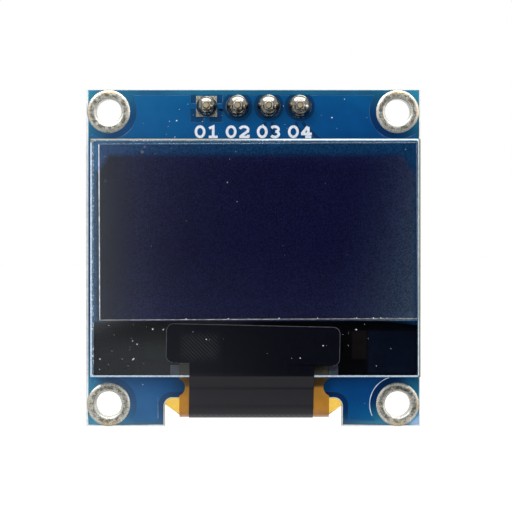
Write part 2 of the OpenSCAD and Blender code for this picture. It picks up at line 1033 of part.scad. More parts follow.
module regulator_legs() {
    color("#b5b4ae")
        upright()
            at_place(REGULATOR_PLACE)
                at_feet()
                    rotate([90, 0, 0])
                        linear_extrude(leg_w, center = true)
                            leg_profile();
}

circuit_board();
for (i = [0:3])
    mounting_ring(i);
for (i = [0:pin_count - 1]) {
    pin_pad(i);
    header_pin(i);
    pin_solder(i);
}
header_housing();
display_glass();
cap_glass();
drying_sheet();
cell_seal();
pixel_layer();
mounting_tape();
polarizer();
driver_chip();
bond_bead();
ledge_foam();
flex_cable();
bond_film();
joint_pads();
flex_solder();
shield_tape();
for (i = [0:RESISTOR_COUNT - 1])
    resistor(i);
for (i = [0:CAPACITOR_COUNT - 1])
    capacitor(i);
component_pads();
component_solder();
regulator_body();
regulator_legs();
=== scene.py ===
"""Looks of a small OLED display module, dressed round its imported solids.

Shapes are worked out flat, in millimetres: x to the right, y up and z towards
the viewer, with the rear face of the board at z = 0. The last step turns them
upright, in metres, so that the module faces -Y. Finishes count in millimetres
too, with x to the right and z up.
"""

import logging
import math
from dataclasses import dataclass
from enum import Enum
from functools import cache
from typing import Sequence, Union

import bpy
import numpy as np
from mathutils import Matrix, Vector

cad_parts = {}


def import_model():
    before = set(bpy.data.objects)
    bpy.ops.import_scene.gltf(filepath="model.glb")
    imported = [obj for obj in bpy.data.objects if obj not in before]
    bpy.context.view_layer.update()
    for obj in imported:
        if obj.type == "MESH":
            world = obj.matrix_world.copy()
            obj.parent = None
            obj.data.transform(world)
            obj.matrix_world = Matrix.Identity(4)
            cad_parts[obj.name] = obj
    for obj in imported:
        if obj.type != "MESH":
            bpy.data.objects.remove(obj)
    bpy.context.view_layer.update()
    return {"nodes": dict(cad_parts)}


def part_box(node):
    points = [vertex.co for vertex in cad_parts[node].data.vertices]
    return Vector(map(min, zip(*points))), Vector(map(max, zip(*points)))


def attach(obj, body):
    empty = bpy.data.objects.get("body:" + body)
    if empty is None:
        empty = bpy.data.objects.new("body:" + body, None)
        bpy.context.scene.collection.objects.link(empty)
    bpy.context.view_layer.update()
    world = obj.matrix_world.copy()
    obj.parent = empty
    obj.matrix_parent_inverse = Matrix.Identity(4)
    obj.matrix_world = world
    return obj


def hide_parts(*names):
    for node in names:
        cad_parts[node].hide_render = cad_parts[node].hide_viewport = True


LOG = logging.getLogger("display_module")
MM = 0.001
PER_MM = 1000.0


class Slot(Enum):
    """Material slots of the record, named with each piece."""

    BOARD = "board"
    PLATING = "plating"
    SOLDER = "solder"
    HOUSING = "housing"
    GLASS = "glass"
    REAR_GLASS = "rear_glass"
    SEAL = "seal"
    PIXELS = "pixels"
    POLARIZER = "polarizer"
    SHIELD = "shield"
    FLEX = "flex"
    RESISTOR = "resistor"
    CAPACITOR = "capacitor"
    MOULDING = "moulding"


# ---------------------------------------------------------------- shapes


@dataclass
class Shell:
    """Points in flat millimetres, polygons on them, and a finish number for each."""

    points: np.ndarray
    faces: list[list[int]]
    tags: list[int]

    @classmethod
    def of(cls, points: np.ndarray, faces: Sequence[Sequence[int]], tag: int = 0) -> "Shell":
        """Makes a shell whose faces all carry one finish number."""
        rows = [list(face) for face in faces]
        return cls(np.asarray(points, float).reshape(-1, 3), rows, [tag] * len(rows))

    @classmethod
    def joined(cls, shells: Sequence["Shell"]) -> "Shell":
        """Puts several shells into one, without welding them.

        Args:
            shells: the shells.

        Returns:
            One shell with their points, faces and finish numbers in order.
        """
        starts = np.cumsum([0] + [len(s.points) for s in shells[:-1]])
        faces = [[int(i + n) for i in f] for s, n in zip(shells, starts) for f in s.faces]
        tags = [tag for s in shells for tag in s.tags]
        return cls(np.vstack([s.points for s in shells]), faces, tags)

    def moved(self, x: float = 0, y: float = 0, z: float = 0, turn: float = 0) -> "Shell":
        """Turns the shell about z and then shifts it.

        Args:
            x: shift to the right.
            y: shift up.
            z: shift towards the viewer.
            turn: turn in degrees, anticlockwise.

        Returns:
            The moved shell.
        """
        c, s = math.cos(math.radians(turn)), math.sin(math.radians(turn))
        spin = np.array([[c, s, 0], [-s, c, 0], [0, 0, 1]])
        return Shell(self.points @ spin + (x, y, z), self.faces, self.tags)

    def flipped(self) -> "Shell":
        """Turns every face round."""
        return Shell(self.points, [f[::-1] for f in self.faces], self.tags)


@dataclass(frozen=True)
class Box:
    """Flat extent of a CAD node, in millimetres."""

    left: float
    right: float
    bottom: float
    top: float
    rear: float
    front: float

    @classmethod
    def of(cls, node: str) -> "Box":
        """Reads the extent of a CAD node by its name."""
        low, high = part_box(node)
        return cls(*(value / MM for value in (low.x, high.x, low.z, high.z, -high.y, -low.y)))

    @property
    def x(self) -> float:
        """Middle of the width."""
        return (self.left + self.right) / 2

    @property
    def y(self) -> float:
        """Middle of the height."""
        return (self.bottom + self.top) / 2

    @property
    def z(self) -> float:
        """Middle of the depth."""
        return (self.rear + self.front) / 2

    @property
    def width(self) -> float:
        """Extent along x."""
        return self.right - self.left

    @property
    def height(self) -> float:
        """Extent along y."""
        return self.top - self.bottom

    @property
    def depth(self) -> float:
        """Extent along z."""
        return self.front - self.rear


def grid_faces(rows: int, cols: int, ring_rows: bool = False, ring_cols: bool = False) -> np.ndarray:
    """Quads between the points of a grid.

    Args:
        rows: number of rows of points.
        cols: number of points in a row.
        ring_rows: whether the last row joins the first.
        ring_cols: whether each row closes on itself.

    Returns:
        Point numbers, four to a quad.
    """
    across = np.arange(cols if ring_cols else cols - 1)
    r, c = np.meshgrid(np.arange(rows if ring_rows else rows - 1), across, indexing="ij")
    up, right = (r + 1) % rows, (c + 1) % cols
    corners = (r * cols + c, r * cols + right, up * cols + right, up * cols + c)
    return np.stack(corners, -1).reshape(-1, 4)


def tube(rings: np.ndarray, tag: int = 0) -> Shell:
    """Joins closed rings of points, one after another, and caps both ends.

    Args:
        rings: points by ring, place on the ring, and axis.
        tag: finish number.

    Returns:
        The closed shell.
    """
    rows, count = rings.shape[:2]
    last = (rows - 1) * count
    caps = [list(range(count))[::-1], list(range(last, last + count))]
    return Shell.of(rings, grid_faces(rows, count, False, True).tolist() + caps, tag)


def loft(rings: Sequence[tuple[np.ndarray, float]]) -> Shell:
    """Joins flat outlines of equal point count at rising levels, and closes both ends."""
    return tube(np.stack([np.column_stack((loop, np.full(len(loop), z))) for loop, z in rings]))


def arc(x: float, y: float, r: float, start: float, end: float, count: int = 13) -> np.ndarray:
    """Points on a circle from one angle to another, in degrees."""
    angles = np.radians(np.linspace(start, end, count))
    return np.column_stack((x + r * np.cos(angles), y + r * np.sin(angles)))


def circle(x: float, y: float, r: float, count: int = 48) -> np.ndarray:
    """Points of a whole circle."""
    return arc(x, y, r, 0, 360, count + 1)[:-1]


def rectangle(x: float, y: float, w: float, h: float, r: float = 0.0) -> np.ndarray:
    """Outline of a rectangle, with a quarter circle at each corner.

    Args:
        x: middle.
        y: middle.
        w: width.
        h: height.
        r: radius of the corners, or 0 for sharp ones.

    Returns:
        Points of the outline, anticlockwise.
    """
    if r <= 0:
        return np.array([(-w, -h), (w, -h), (w, h), (-w, h)]) / 2 + (x, y)
    right, up = w / 2 - r, h / 2 - r
    corners = [(right, up, 0), (-right, up, 90), (-right, -up, 180), (right, -up, 270)]
    return np.vstack([arc(x + a, y + b, r, start, start + 90, 7) for a, b, start in corners])


def lathe(
    profile: np.ndarray, x: float, y: float, count: int = 64, wobble: float = 0.0, seed: int = 0
) -> Shell:
    """Carries a closed profile of (radius, z) round an upright axis.

    The radius swells and shrinks by four sines of one to four waves a turn.

    Args:
        profile: radius and z of each point, running so that the inside is on the left.
        x: place of the axis.
        y: place of the axis.
        count: points round the axis.
        wobble: share by which the radius changes.
        seed: start of the random phases of the sines.

    Returns:
        The closed shell.
    """
    phases = np.random.default_rng(seed).uniform(0, 2 * np.pi, 4)
    angles = np.linspace(0, 2 * np.pi, count, endpoint=False)[:, None]
    swell = sum(np.sin((k + 1) * angles + phases[k]) / (k + 1) for k in range(4))
    radius = profile[:, 0] * (1 + wobble * swell)
    level = np.broadcast_to(profile[:, 1], radius.shape)
    points = np.stack((x + radius * np.cos(angles), y + radius * np.sin(angles), level), -1)
    return Shell.of(points, grid_faces(count, len(profile), True, True))


def plate(loops: Sequence[np.ndarray], low: float, high: float, bevel: float = 0.0, tag: int = 0) -> Shell:
    """Fills flat outlines, with their holes, and gives the plate a thickness.

    Args:
        loops: outlines and holes, in any direction.
        low: level of the rear face.
        high: level of the front face.
        bevel: width of the rounded edge, which stays inside the outline.
        tag: finish number.

    Returns:
        The plate.
    """
    curve = bpy.data.curves.new("outline", "CURVE")
    curve.dimensions = "2D"
    curve.fill_mode = "BOTH"
    curve.extrude = (high - low) / 2 - bevel
    curve.bevel_depth = bevel
    curve.bevel_resolution = 2
    curve.offset = -bevel
    for loop in loops:
        spline = curve.splines.new("POLY")
        spline.points.add(len(loop) - 1)
        flat = np.column_stack((loop, np.zeros(len(loop)), np.ones(len(loop))))
        spline.points.foreach_set("co", flat.astype(np.float32).ravel())
        spline.use_cyclic_u = True
    holder = bpy.data.objects.new("outline", curve)
    bpy.context.scene.collection.objects.link(holder)
    mesh = bpy.data.meshes.new_from_object(holder.evaluated_get(bpy.context.evaluated_depsgraph_get()))
    points = np.empty(len(mesh.vertices) * 3)
    mesh.vertices.foreach_get("co", points)
    shell = Shell.of(points, [list(polygon.vertices) for polygon in mesh.polygons], tag)
    bpy.data.objects.remove(holder)
    bpy.data.curves.remove(curve)
    bpy.data.meshes.remove(mesh)
    return shell.moved(z=(low + high) / 2)


def track(
    path: np.ndarray, width: float, low: float, high: float, edge: float = 0.02, tag: int = 0
) -> Shell:
    """A strip along a path, with a raised back: a copper track or a printed line.

    At each point the four corners of its section lie along the mean of the
    normals of the two steps that meet there, stretched so that the strip
    keeps its width round a bend.

    Args:
        path: points of the middle line.
        width: width of the foot.
        low: level of the foot.
        high: level of the back, which may lie below the foot on the rear face.
        edge: how far each side slopes in.
        tag: finish number.

    Returns:
        The closed strip.
    """
    path = np.asarray(path, float)
    steps = np.diff(path, axis=0)
    steps /= np.linalg.norm(steps, axis=1)[:, None]
    trail = np.vstack((steps, steps[-1:]))
    along = np.vstack((steps[:1], steps)) + trail
    along /= np.linalg.norm(along, axis=1)[:, None]
    stretch = 1 / np.maximum(0.5, np.sum(along * trail, axis=1))
    normal = np.column_stack((-along[:, 1], along[:, 0])) * stretch[:, None]
    half = width / 2
    section = np.array([(-half, low), (-half + edge, high), (half - edge, high), (half, low)])
    flat = path[:, None, :] + normal[:, None, :] * section[None, :, :1]
    level = np.broadcast_to(section[None, :, 1:], (len(path), 4, 1))
    shell = tube(np.concatenate((flat, level), -1), tag)
    return shell.flipped() if high > low else shell


def strip_loop(path: Sequence[tuple[float, float]], width: float) -> np.ndarray:
    """Closed outline of a strip along a path."""
    rows = track(path, width, 0.0, 1.0, edge=0.0).points.reshape(-1, 4, 3)[:, :, :2]
    return np.vstack((rows[:, 0], rows[::-1, 3]))


def elbow(start: tuple[float, float], end: tuple[float, float]) -> np.ndarray:
    """A track's path: straight from the start, then at 45 degrees to the end.

    Args:
        start: first point.
        end: last point.

    Returns:
        Two or three points, none closer to the last than 0.05 mm.
    """
    dx, dy = end[0] - start[0], end[1] - start[1]
    slant = min(abs(dx), abs(dy))
    if abs(dy) >= abs(dx):
        corner = (start[0], end[1] - math.copysign(slant, dy))
    else:
        corner = (end[0] - math.copysign(slant, dx), start[1])
    pairs = ((start, corner), (corner, end))
    return np.array([start] + [b for a, b in pairs if math.dist(a, b) > 0.05])


def rounded_block(w: float, h: float, t: float, r: float, count: int = 12, tag: int = 0) -> Shell:
    """A block with rounded edges round the origin.

    A cube's grid, drawn together towards its edges, is clamped to the block
    less its radius, and each point is put back out by the radius along the way
    it was cut off.

    Args:
        w: extent along x.
        h: extent along y.
        t: extent along z.
        r: radius of the edges.
        count: points along each side of a face.
        tag: finish number.

    Returns:
        The six sheets of the block.
    """
    side = np.linspace(-1, 1, count)
    u, v = np.meshgrid(side, side, indexing="ij")
    one = np.ones_like(u)
    size = np.array((w, h, t)) / 2
    shells = []
    for sheet in ((u, v, one), (v, u, -one), (one, u, v), (-one, v, u), (v, one, u), (u, -one, v)):
        cube = np.stack(sheet, -1).reshape(-1, 3)
        full = np.sign(cube) * (1 - (1 - np.abs(cube)) ** 1.6) * size
        core = np.clip(full, r - size, size - r)
        out = full - core
        reach = np.maximum(np.linalg.norm(out, axis=1, keepdims=True), 1e-9)
        shells.append(Shell.of(core + out / reach * r, grid_faces(count, count), tag))
    return Shell.joined(shells).flipped()


def strip(left: np.ndarray, right: np.ndarray, front: np.ndarray, rear: np.ndarray, cols: int = 9) -> Shell:
    """A thin sheet with thickness, carried along a path.

    Each row of points runs across the outer face and back across the inner one.

    Args:
        left: x of the sheet's left edge at each step of the path.
        right: x of its right edge.
        front: (y, z) of its outer face at each step.
        rear: (y, z) of its inner face.
        cols: points across the sheet.

    Returns:
        The closed sheet.
    """
    share = np.linspace(0, 1, cols)
    x = left[:, None] * (1 - share) + right[:, None] * share
    outer = np.dstack((x, np.repeat(front[:, None, :], cols, 1)))
    inner = np.dstack((x, np.repeat(rear[:, None, :], cols, 1)))[:, ::-1]
    return tube(np.concatenate((outer, inner), 1)).flipped()


# ---------------------------------------------------------------- shader nodes


def linear(code: str) -> tuple[float, float, float, float]:
    """Turns a colour like '#0b5688' into linear light.

    Args:
        code: red, green and blue in hexadecimal.

    Returns:
        Red, green, blue and alpha.
    """
    values = [int(code[i : i + 2], 16) / 255 for i in (1, 3, 5)]
    red, green, blue = (v / 12.92 if v <= 0.04045 else ((v + 0.055) / 1.055) ** 2.4 for v in values)
    return (red, green, blue, 1.0)


Source = Union["Value", bpy.types.NodeSocket, float, tuple, str]
Feeds = dict[Union[str, int], Source]


@dataclass
class Value:
    """A number that changes over a surface. Sums written with it place Math nodes."""

    nodes: "Nodes"
    socket: bpy.types.NodeSocket

    def math(self, kind: str, *others: Source) -> "Value":
        """Places one Math node on this number."""
        return self.nodes.math(kind, self, *others)

    def __add__(self, other: Source) -> "Value":
        """Sum."""
        return self.math("ADD", other)

    def __sub__(self, other: Source) -> "Value":
        """Difference."""
        return self.math("SUBTRACT", other)

    def __rsub__(self, other: Source) -> "Value":
        """Difference from a plain number."""
        return self.nodes.math("SUBTRACT", other, self)

    def __mul__(self, other: Source) -> "Value":
        """Product."""
        return self.math("MULTIPLY", other)

    def __truediv__(self, other: Source) -> "Value":
        """Quotient."""
        return self.math("DIVIDE", other)

    def __pow__(self, other: Source) -> "Value":
        """Power."""
        return self.math("POWER", other)

    def __abs__(self) -> "Value":
        """Size without its sign."""
        return self.math("ABSOLUTE")

    __radd__ = __add__
    __rmul__ = __mul__

    def greater(self, other: Source) -> "Value":
        """The greater of two numbers."""
        return self.math("MAXIMUM", other)

    def ramp(self, low: Source, high: Source, start: Source = 0.0, end: Source = 1.0) -> "Value":
        """Runs smoothly from start, where the number is low, to end, where it is high."""
        feeds = {"Value": self, "From Min": low, "From Max": high, "To Min": start, "To Max": end}
        return self.nodes.give("ShaderNodeMapRange", feeds, "Result", interpolation_type="SMOOTHSTEP")

    def band(self, middle: float, half: float, soft: float = 0.1) -> "Value":
        """One within half of a middle and zero outside, with soft edges."""
        return abs(self - middle).ramp(half - soft, half + soft, 1.0, 0.0)


class Nodes:
    """Short calls for a node tree."""

    def __init__(self, tree: bpy.types.NodeTree) -> None:
        """Keeps the tree."""
        self.tree = tree

    def feed(self, socket: bpy.types.NodeSocket, source: Source) -> None:
        """Links a socket, or sets its value.

        Args:
            socket: an input.
            source: a Value or socket to link, or a number, vector or colour code to set.
        """
        if isinstance(source, Value):
            source = source.socket
        if isinstance(source, bpy.types.NodeSocket):
            self.tree.links.new(source, socket)
        else:
            socket.default_value = linear(source) if isinstance(source, str) else source

    def add(self, kind: str, feeds: Feeds, **settings: object) -> bpy.types.Node:
        """Adds a node.

        Args:
            kind: type of the node.
            feeds: what its inputs take, by name or number.
            **settings: its properties.

        Returns:
            The node.
        """
        node = self.tree.nodes.new(kind)
        for name, value in settings.items():
            setattr(node, name, value)
        for name, source in feeds.items():
            self.feed(node.inputs[name], source)
        return node

    def give(self, kind: str, feeds: Feeds, output: Union[str, int] = 0, **settings: object) -> Value:
        """Adds a node and gives one of its outputs."""
        return Value(self, self.add(kind, feeds, **settings).outputs[output])

    def math(self, kind: str, *sources: Source) -> Value:
        """Adds one Math node."""
        return self.give("ShaderNodeMath", dict(enumerate(sources)), operation=kind)

    def noise(
        self, vector: Source, scale: Source, detail: float = 4, rough: float = 0.55, bend: float = 0
    ) -> Value:
        """Adds a noise texture."""
        feeds = {"Vector": vector, "Scale": scale, "Detail": detail, "Roughness": rough, "Distortion": bend}
        return self.give("ShaderNodeTexNoise", feeds)

    def blend(self, share: Source, first: Source, second: Source, kind: str = "MIX") -> Value:
        """Mixes two colours. The share is kept within 0 and 1."""
        feeds = {0: share, 6: first, 7: second}
        return self.give("ShaderNodeMix", feeds, 2, data_type="RGBA", blend_type=kind)

    def axes(self, vector: Source) -> list[Value]:
        """Splits a vector, or a colour, into its three numbers."""
        return [Value(self, socket) for socket in self.add("ShaderNodeSeparateXYZ", {0: vector}).outputs]


def start_group(
    name: str, takes: Sequence[str], gives: Sequence[str]
) -> tuple[Nodes, dict[str, Value], bpy.types.NodeInputs]:
    """Makes an empty node group for an effect that several finishes share.

    Args:
        name: name of the group.
        takes: its number inputs, besides a Vector.
        gives: its number outputs.

    Returns:
        The group's nodes, its inputs by name, and the sockets that its outputs take.
    """
    tree = bpy.data.node_groups.new(name, "ShaderNodeTree")
    tree.interface.new_socket(name="Vector", in_out="INPUT", socket_type="NodeSocketVector")
    for way, labels in (("INPUT", takes), ("OUTPUT", gives)):
        for label in labels:
            tree.interface.new_socket(name=label, in_out=way, socket_type="NodeSocketFloat")
    nodes = Nodes(tree)
    into = {socket.name: Value(nodes, socket) for socket in nodes.add("NodeGroupInput", {}).outputs}
    return nodes, into, nodes.add("NodeGroupOutput", {}).inputs


@cache
def grain() -> bpy.types.NodeTree:
    """Cloudy change of tone with a finer relief.

    Returns:
        A group that takes Scale and Tone and gives Tint, round 1, and Height.
    """
    nodes, into, out = start_group("grain", ("Scale", "Tone"), ("Tint", "Height"))
    cloud = nodes.noise(into["Vector"], into["Scale"])
    nodes.feed(out["Tint"], cloud.ramp(0.3, 0.7, 1.0 - into["Tone"], 1.0 + into["Tone"]))
    nodes.feed(out["Height"], nodes.noise(into["Vector"], into["Scale"] * 6.0, 3))
    return nodes.tree


@cache
def dust() -> bpy.types.NodeTree:
    """Sparse specks of random size, at most one to a cell.

    Returns:
        A group that takes Scale, Amount and Size and gives Mask.
    """
    nodes, into, out = start_group("dust", ("Scale", "Amount", "Size"), ("Mask",))
    cells = nodes.add("ShaderNodeTexVoronoi", {"Vector": into["Vector"], "Scale": into["Scale"]}).outputs
    chance, size, _ = nodes.axes(cells["Color"])
    reach = into["Size"] * (size + 0.25)
    fade = {"Value": cells["Distance"], "From Min": reach, "From Max": reach * 0.6}
    here = chance.math("LESS_THAN", into["Amount"])
    nodes.feed(out["Mask"], here * nodes.give("ShaderNodeMapRange", fade, "Result"))
    return nodes.tree


@cache
def tin() -> bpy.types.NodeTree:
    """Mottling of levelled tin.

    Returns:
        A group that takes Scale and Depth and gives Tint, Rough and Height.
    """
    nodes, into, out = start_group("tin", ("Scale", "Depth"), ("Tint", "Rough", "Height"))
    cloud = nodes.noise(into["Vector"], into["Scale"], 6, 0.62, 0.7)
    fine = nodes.noise(into["Vector"], into["Scale"] * 5.0, 3, 0.5)
    nodes.feed(out["Tint"], cloud.ramp(0.34, 0.6, 1.0 - into["Depth"], 1.0) * fine.ramp(0.3, 0.7, 0.86, 1.0))
    nodes.feed(out["Rough"], fine.ramp(0.35, 0.65, 0.2, 0.48))
    nodes.feed(out["Height"], cloud * 0.7 + fine * 0.3)
    return nodes.tree


class Paint(Nodes):
    """One material under construction, round its Principled shader."""

    def __init__(self, name: str) -> None:
        """Makes the material.

        Args:
            name: name of the material.
        """
        self.material = bpy.data.materials.new(name)
        self.material.use_nodes = True
        super().__init__(self.material.node_tree)
        self.shader = self.tree.nodes["Principled BSDF"]
        self.vector = self.give("ShaderNodeTexCoord", {}, "Object")

    def places(self) -> tuple[Value, Value]:
        """Millimetres to the right of the module's middle, and up from it."""
        x, _, z = self.axes(self.vector)
        return x * PER_MM, z * PER_MM

    def cloud(self, size: float, detail: float, rough: float = 0.55, squeeze: Sequence[float] = ()) -> Value:
        """Noise over the surface.

        Args:
            size: size of its patches, in millimetres.
            detail: number of finer layers.
            rough: weight of the finer layers.
            squeeze: how much narrower the patches are along x, y and z.

        Returns:
            The noise, round 0.5.
        """
        vector = self.vector
        if squeeze:
            vector = self.give("ShaderNodeVectorMath", {0: vector, 1: squeeze}, operation="MULTIPLY")
        return self.noise(vector, PER_MM / size, detail, rough)

    def set(self, **values: Source) -> None:
        """Sets or links sockets of the shader, named with _ for a space."""
        for name, value in values.items():
            self.feed(self.shader.inputs[name.replace("_", " ")], value)

    def effect(self, group: bpy.types.NodeTree, **values: float) -> dict[str, Value]:
        """Places a shared group with its own values, and gives its outputs by name."""
        outputs = self.add("ShaderNodeGroup", {"Vector": self.vector, **values}, node_tree=group).outputs
        return {socket.name: Value(self, socket) for socket in outputs}

    def relief(self, height: Value, depth: float) -> None:
        """Feeds a Bump node of a depth in millimetres into the shader's normal."""
        self.set(Normal=self.give("ShaderNodeBump", {"Height": height, "Distance": depth * MM}, "Normal"))


# ---------------------------------------------------------------- finishes


@dataclass(frozen=True)
class Finish:
    """A plain finish: a colour with cloudy grain, a relief and maybe dust.

    The grain's size and the relief's depth are in millimetres. Dust is a share
    of cells that hold a speck, a speck's size in cells, and cells to a millimetre.
    """

    name: str
    colour: str
    rough: float = 0.5
    metal: float = 0.0
    specular: float = 0.5
    transmission: float = 0.0
    grain: float = 1.5
    tone: float = 0.08
    depth: float = 0.004
    dust: float = 0.0
    dust_size: float = 0.28
    dust_cells: float = 1.4
    dust_colour: str = "#e8eef4"

    @cache
    def material(self) -> bpy.types.Material:
        """Builds the material when it is first asked for.

        Returns:
            The material.
        """
        paint = Paint(self.name)
        self.dress(paint)
        return paint.material

    def base(self, paint: Paint) -> Source:
        """Colour before the grain, the same all over unless a finish has its own pattern."""
        return self.colour

    def dress(self, paint: Paint) -> None:
        """Puts grain and dust over the base colour and sets the plain numbers.

        Args:
            paint: material under construction.
        """
        cloudy = paint.effect(grain(), Scale=PER_MM / self.grain, Tone=self.tone)
        toned = paint.blend(1.0, self.base(paint), cloudy["Tint"], "MULTIPLY")
        if self.dust > 0:
            scale = PER_MM * self.dust_cells
            specks = paint.effect(dust(), Scale=scale, Amount=self.dust, Size=self.dust_size)
            toned = paint.blend(specks["Mask"], toned, self.dust_colour)
        paint.set(Base_Color=toned, Roughness=self.rough, Metallic=self.metal)
        paint.set(Specular_IOR_Level=self.specular, Transmission_Weight=self.transmission)
        if self.depth > 0:
            paint.relief(cloudy["Height"], self.depth)


@dataclass(frozen=True)
class Glass(Finish):
    """Clear or tinted glass or film."""

    transmission: float = 1.0
    depth: float = 0.0


@dataclass(frozen=True)
class SolderMask(Finish):
    """Blue solder mask: painted shade that is lighter to the left and deeper to the right, teal towards the
    board's rim, and a painted highlight along the top edge.
    """

    shaded_colour: str = "#04407a"
    rim_colour: str = "#0f6f92"
    painted_sheen_colour: str = "#9fbfe6"
    rim_share: float = 0.6
    rim_from: float = 10.4
    rim_to: float = 13.65
    top_highlight_from: float = 13.25
    top_highlight_to: float = 13.4
    reach: float = 13.5

    def base(self, paint: Paint) -> Source:
        """Colour before the grain, with a painted sheen at the lower left and lower right corners.

        Args:
            paint: material under construction.

        Returns:
            The colour.
        """
        x, z = paint.places()
        # painted shade: the colour deepens from left to right
        colour = paint.blend((x - 0.35 * z).ramp(-self.reach, self.reach), self.colour, self.shaded_colour)
        across, upward = abs(x), abs(z)
        off = (across.greater(upward) * 2.0 + across + upward) / 4.0
        rim = off.ramp(self.rim_from, self.rim_to, 0.0, self.rim_share)
        # painted highlight: a lighter band in the rim colour along the top edge
        rim = rim.greater(z.ramp(self.top_highlight_from, self.top_highlight_to, 0.0, 0.4))
        cloud = paint.cloud(7.0, 2).ramp(0.35, 0.7, 0.45, 1.3)
        colour = paint.blend(rim * cloud, colour, self.rim_colour)
        # painted sheen: pale at the lower right corner and faintly over the lower left
        sheen_lower_right = (x - z).ramp(26.1, 26.6, 0.0, 0.7)
        sheen_lower_left = (x + z).ramp(-16.0, -21.0, 0.0, 0.06)
        return paint.blend(sheen_lower_right.greater(sheen_lower_left), colour, self.painted_sheen_colour)


@dataclass(frozen=True)
class Laminate(Finish):
    """Cut edge of a glass-fibre board: thin pale layers with flecks of fibre."""

    layer_colour: str = "#a09d78"

    def base(self, paint: Paint) -> Source:
        """Colour before the grain, in layers squeezed across the board's thickness."""
        share = paint.cloud(0.3, 3, squeeze=(0.16, 2.6, 0.16)).ramp(0.36, 0.62, 0.0, 0.8)
        return paint.blend(share, self.colour, self.layer_colour)


@dataclass(frozen=True)
class GroundEdge(Finish):
    """Ground edge of the glass: pale blue white, and a dull tan painted shade along the top left and the
    right.
    """

    edge_shade_colour: str = "#6f6c52"

    def base(self, paint: Paint) -> Source:
        """Colour before the grain.

        Args:
            paint: material under construction.

        Returns:
            The colour.
        """
        x, z = paint.places()
        # painted shade: dull tan along the top, most at the left, and down the right side
        top_left = z.ramp(9.2, 9.4) * x.ramp(-4.0, 4.0, 0.9, 0.1)
        return paint.blend(top_left.greater(x.ramp(13.3, 13.4)), self.colour, self.edge_shade_colour)


@dataclass(frozen=True)
class ChippedEdge(Finish):
    """Grey band inside the ground edge, dotted with small bright chips, and a painted highlight down the
    right side.
    """

    chip_and_glint_colour: str = "#cfe0f0"

    def base(self, paint: Paint) -> Source:
        """Colour before the grain.

        Args:
            paint: material under construction.

        Returns:
            The colour.
        """
        x, _ = paint.places()
        dots = paint.cloud(0.1, 2, 0.6).ramp(0.58, 0.68)
        # the chips, and a painted highlight that brightens the band down the right side
        return paint.blend(dots.greater(x.ramp(13.2, 13.3, 0.0, 0.85)), self.colour, self.chip_and_glint_colour)


@dataclass(frozen=True)
class Tin(Finish):
    """Levelled tin or solder on copper, mottled and a little warm."""

    mottle: float = 0.9
    shade: float = 0.45
    shine: float = 0.0

    def dress(self, paint: Paint) -> None:
        """Puts the mottling over the base colour, the roughness and the relief.

        Args:
            paint: material under construction.
        """
        mottled = paint.effect(tin(), Scale=PER_MM / self.mottle, Depth=self.shade)
        colour = paint.blend(1.0, self.base(paint), mottled["Tint"], "MULTIPLY")
        paint.set(Base_Color=colour, Roughness=mottled["Rough"] * (1.0 - self.shine), Metallic=self.metal)
        paint.relief(mottled["Height"], self.depth)


@dataclass(frozen=True)
class RingTin(Tin):
    """Tin of the corner rings: a pale flat band round a slope darkened by painted shade, and tan at the
    board's rim.
    """

    slope_shade_colour: str = "#4a483f"
    rim_colour: str = "#c9b184"
    ring_x: float = 11.8
    ring_y: float = 11.95
    rim_from: float = 13.2
    rim_to: float = 13.6

    def base(self, paint: Paint) -> Source:
        """Colour before the mottling.

        Args:
            paint: material under construction.

        Returns:
            The colour.
        """
        x, z = paint.places()
        across, upward = abs(x), abs(z)
        rim = across.greater(upward).ramp(self.rim_from, self.rim_to, 0.0, 0.85)
        radius = ((across - self.ring_x) ** 2.0 + (upward - self.ring_y) ** 2.0) ** 0.5
        # painted shade: the slope inside the flat band is darkened, in mottled patches
        slope = radius.ramp(1.46, 1.64, 1.0, 0.06) * radius.ramp(1.18, 1.27, 0.2, 1.0)
        patchy = paint.cloud(0.3, 4, 0.65).ramp(0.38, 0.62, 0.1, 0.85)
        colour = paint.blend(rim, self.colour, self.rim_colour)
        return paint.blend(slope * patchy, colour, self.slope_shade_colour)


@dataclass(frozen=True)
class PixelFilm(Finish):
    """Light emitting layer: a dark grainy field with fine dots and painted reflections, and a soft navy
    border round it.
    """

    pitch: float = 0.17
    columns: int = 128
    rows: int = 64
    x: float = 0.2
    y: float = 2.2
    half: float = 12.95
    top: float = 8.35
    corner_x: float = 11.9
    border: str = "#357ba6"
    gap_colour: str = "#15122e"
    left_colour: str = "#101c18"
    low_colour: str = "#5c5c80"
    right_colour: str = "#a0b4bc"

    def base(self, paint: Paint) -> Source:
        """Colour before the grain.

        Args:
            paint: material under construction.

        Returns:
            The colour.
        """
        x, z = paint.places()
        across, upward = (x - self.x) / self.pitch, (z - self.y) / self.pitch
        area = across.band(0.0, self.columns / 2, 0.6) * upward.band(0.0, self.rows / 2, 0.6)
        gaps = [abs(step.math("FRACT") - 0.5).ramp(0.36, 0.46) for step in (across, upward)]
        # painted reflection: lighter towards the bottom, a pale glare towards the right, and darkest at the
        # left
        colour = paint.blend(z.ramp(-4.5, 1.5, 1.0, 0.0), self.colour, self.low_colour)
        colour = paint.blend(area * gaps[0].greater(gaps[1]) * 0.3, colour, self.gap_colour)
        glare = ((x - 0.25 * z - 5.75) / 8.5).greater(0.0) ** 2.2
        colour = paint.blend(glare, colour, self.right_colour)
        colour = paint.blend(x.ramp(-12.4, -8.5, 0.95, 0.0), colour, self.left_colour)
        return paint.blend(self.margin(x, z), colour, self.border)

    def margin(self, x: Value, z: Value) -> Value:
        """One on the border, round a field whose upper corners are cut off; soft in between.

        Args:
            x: place to the right.
            z: place up.

        Returns:
            The border's share.
        """
        side, above = abs(x - self.x), z - self.top
        cut = 0.82 * (side - self.corner_x) + 0.57 * above
        return (side - self.half).greater(above).greater(cut).ramp(-0.35, 0.3)


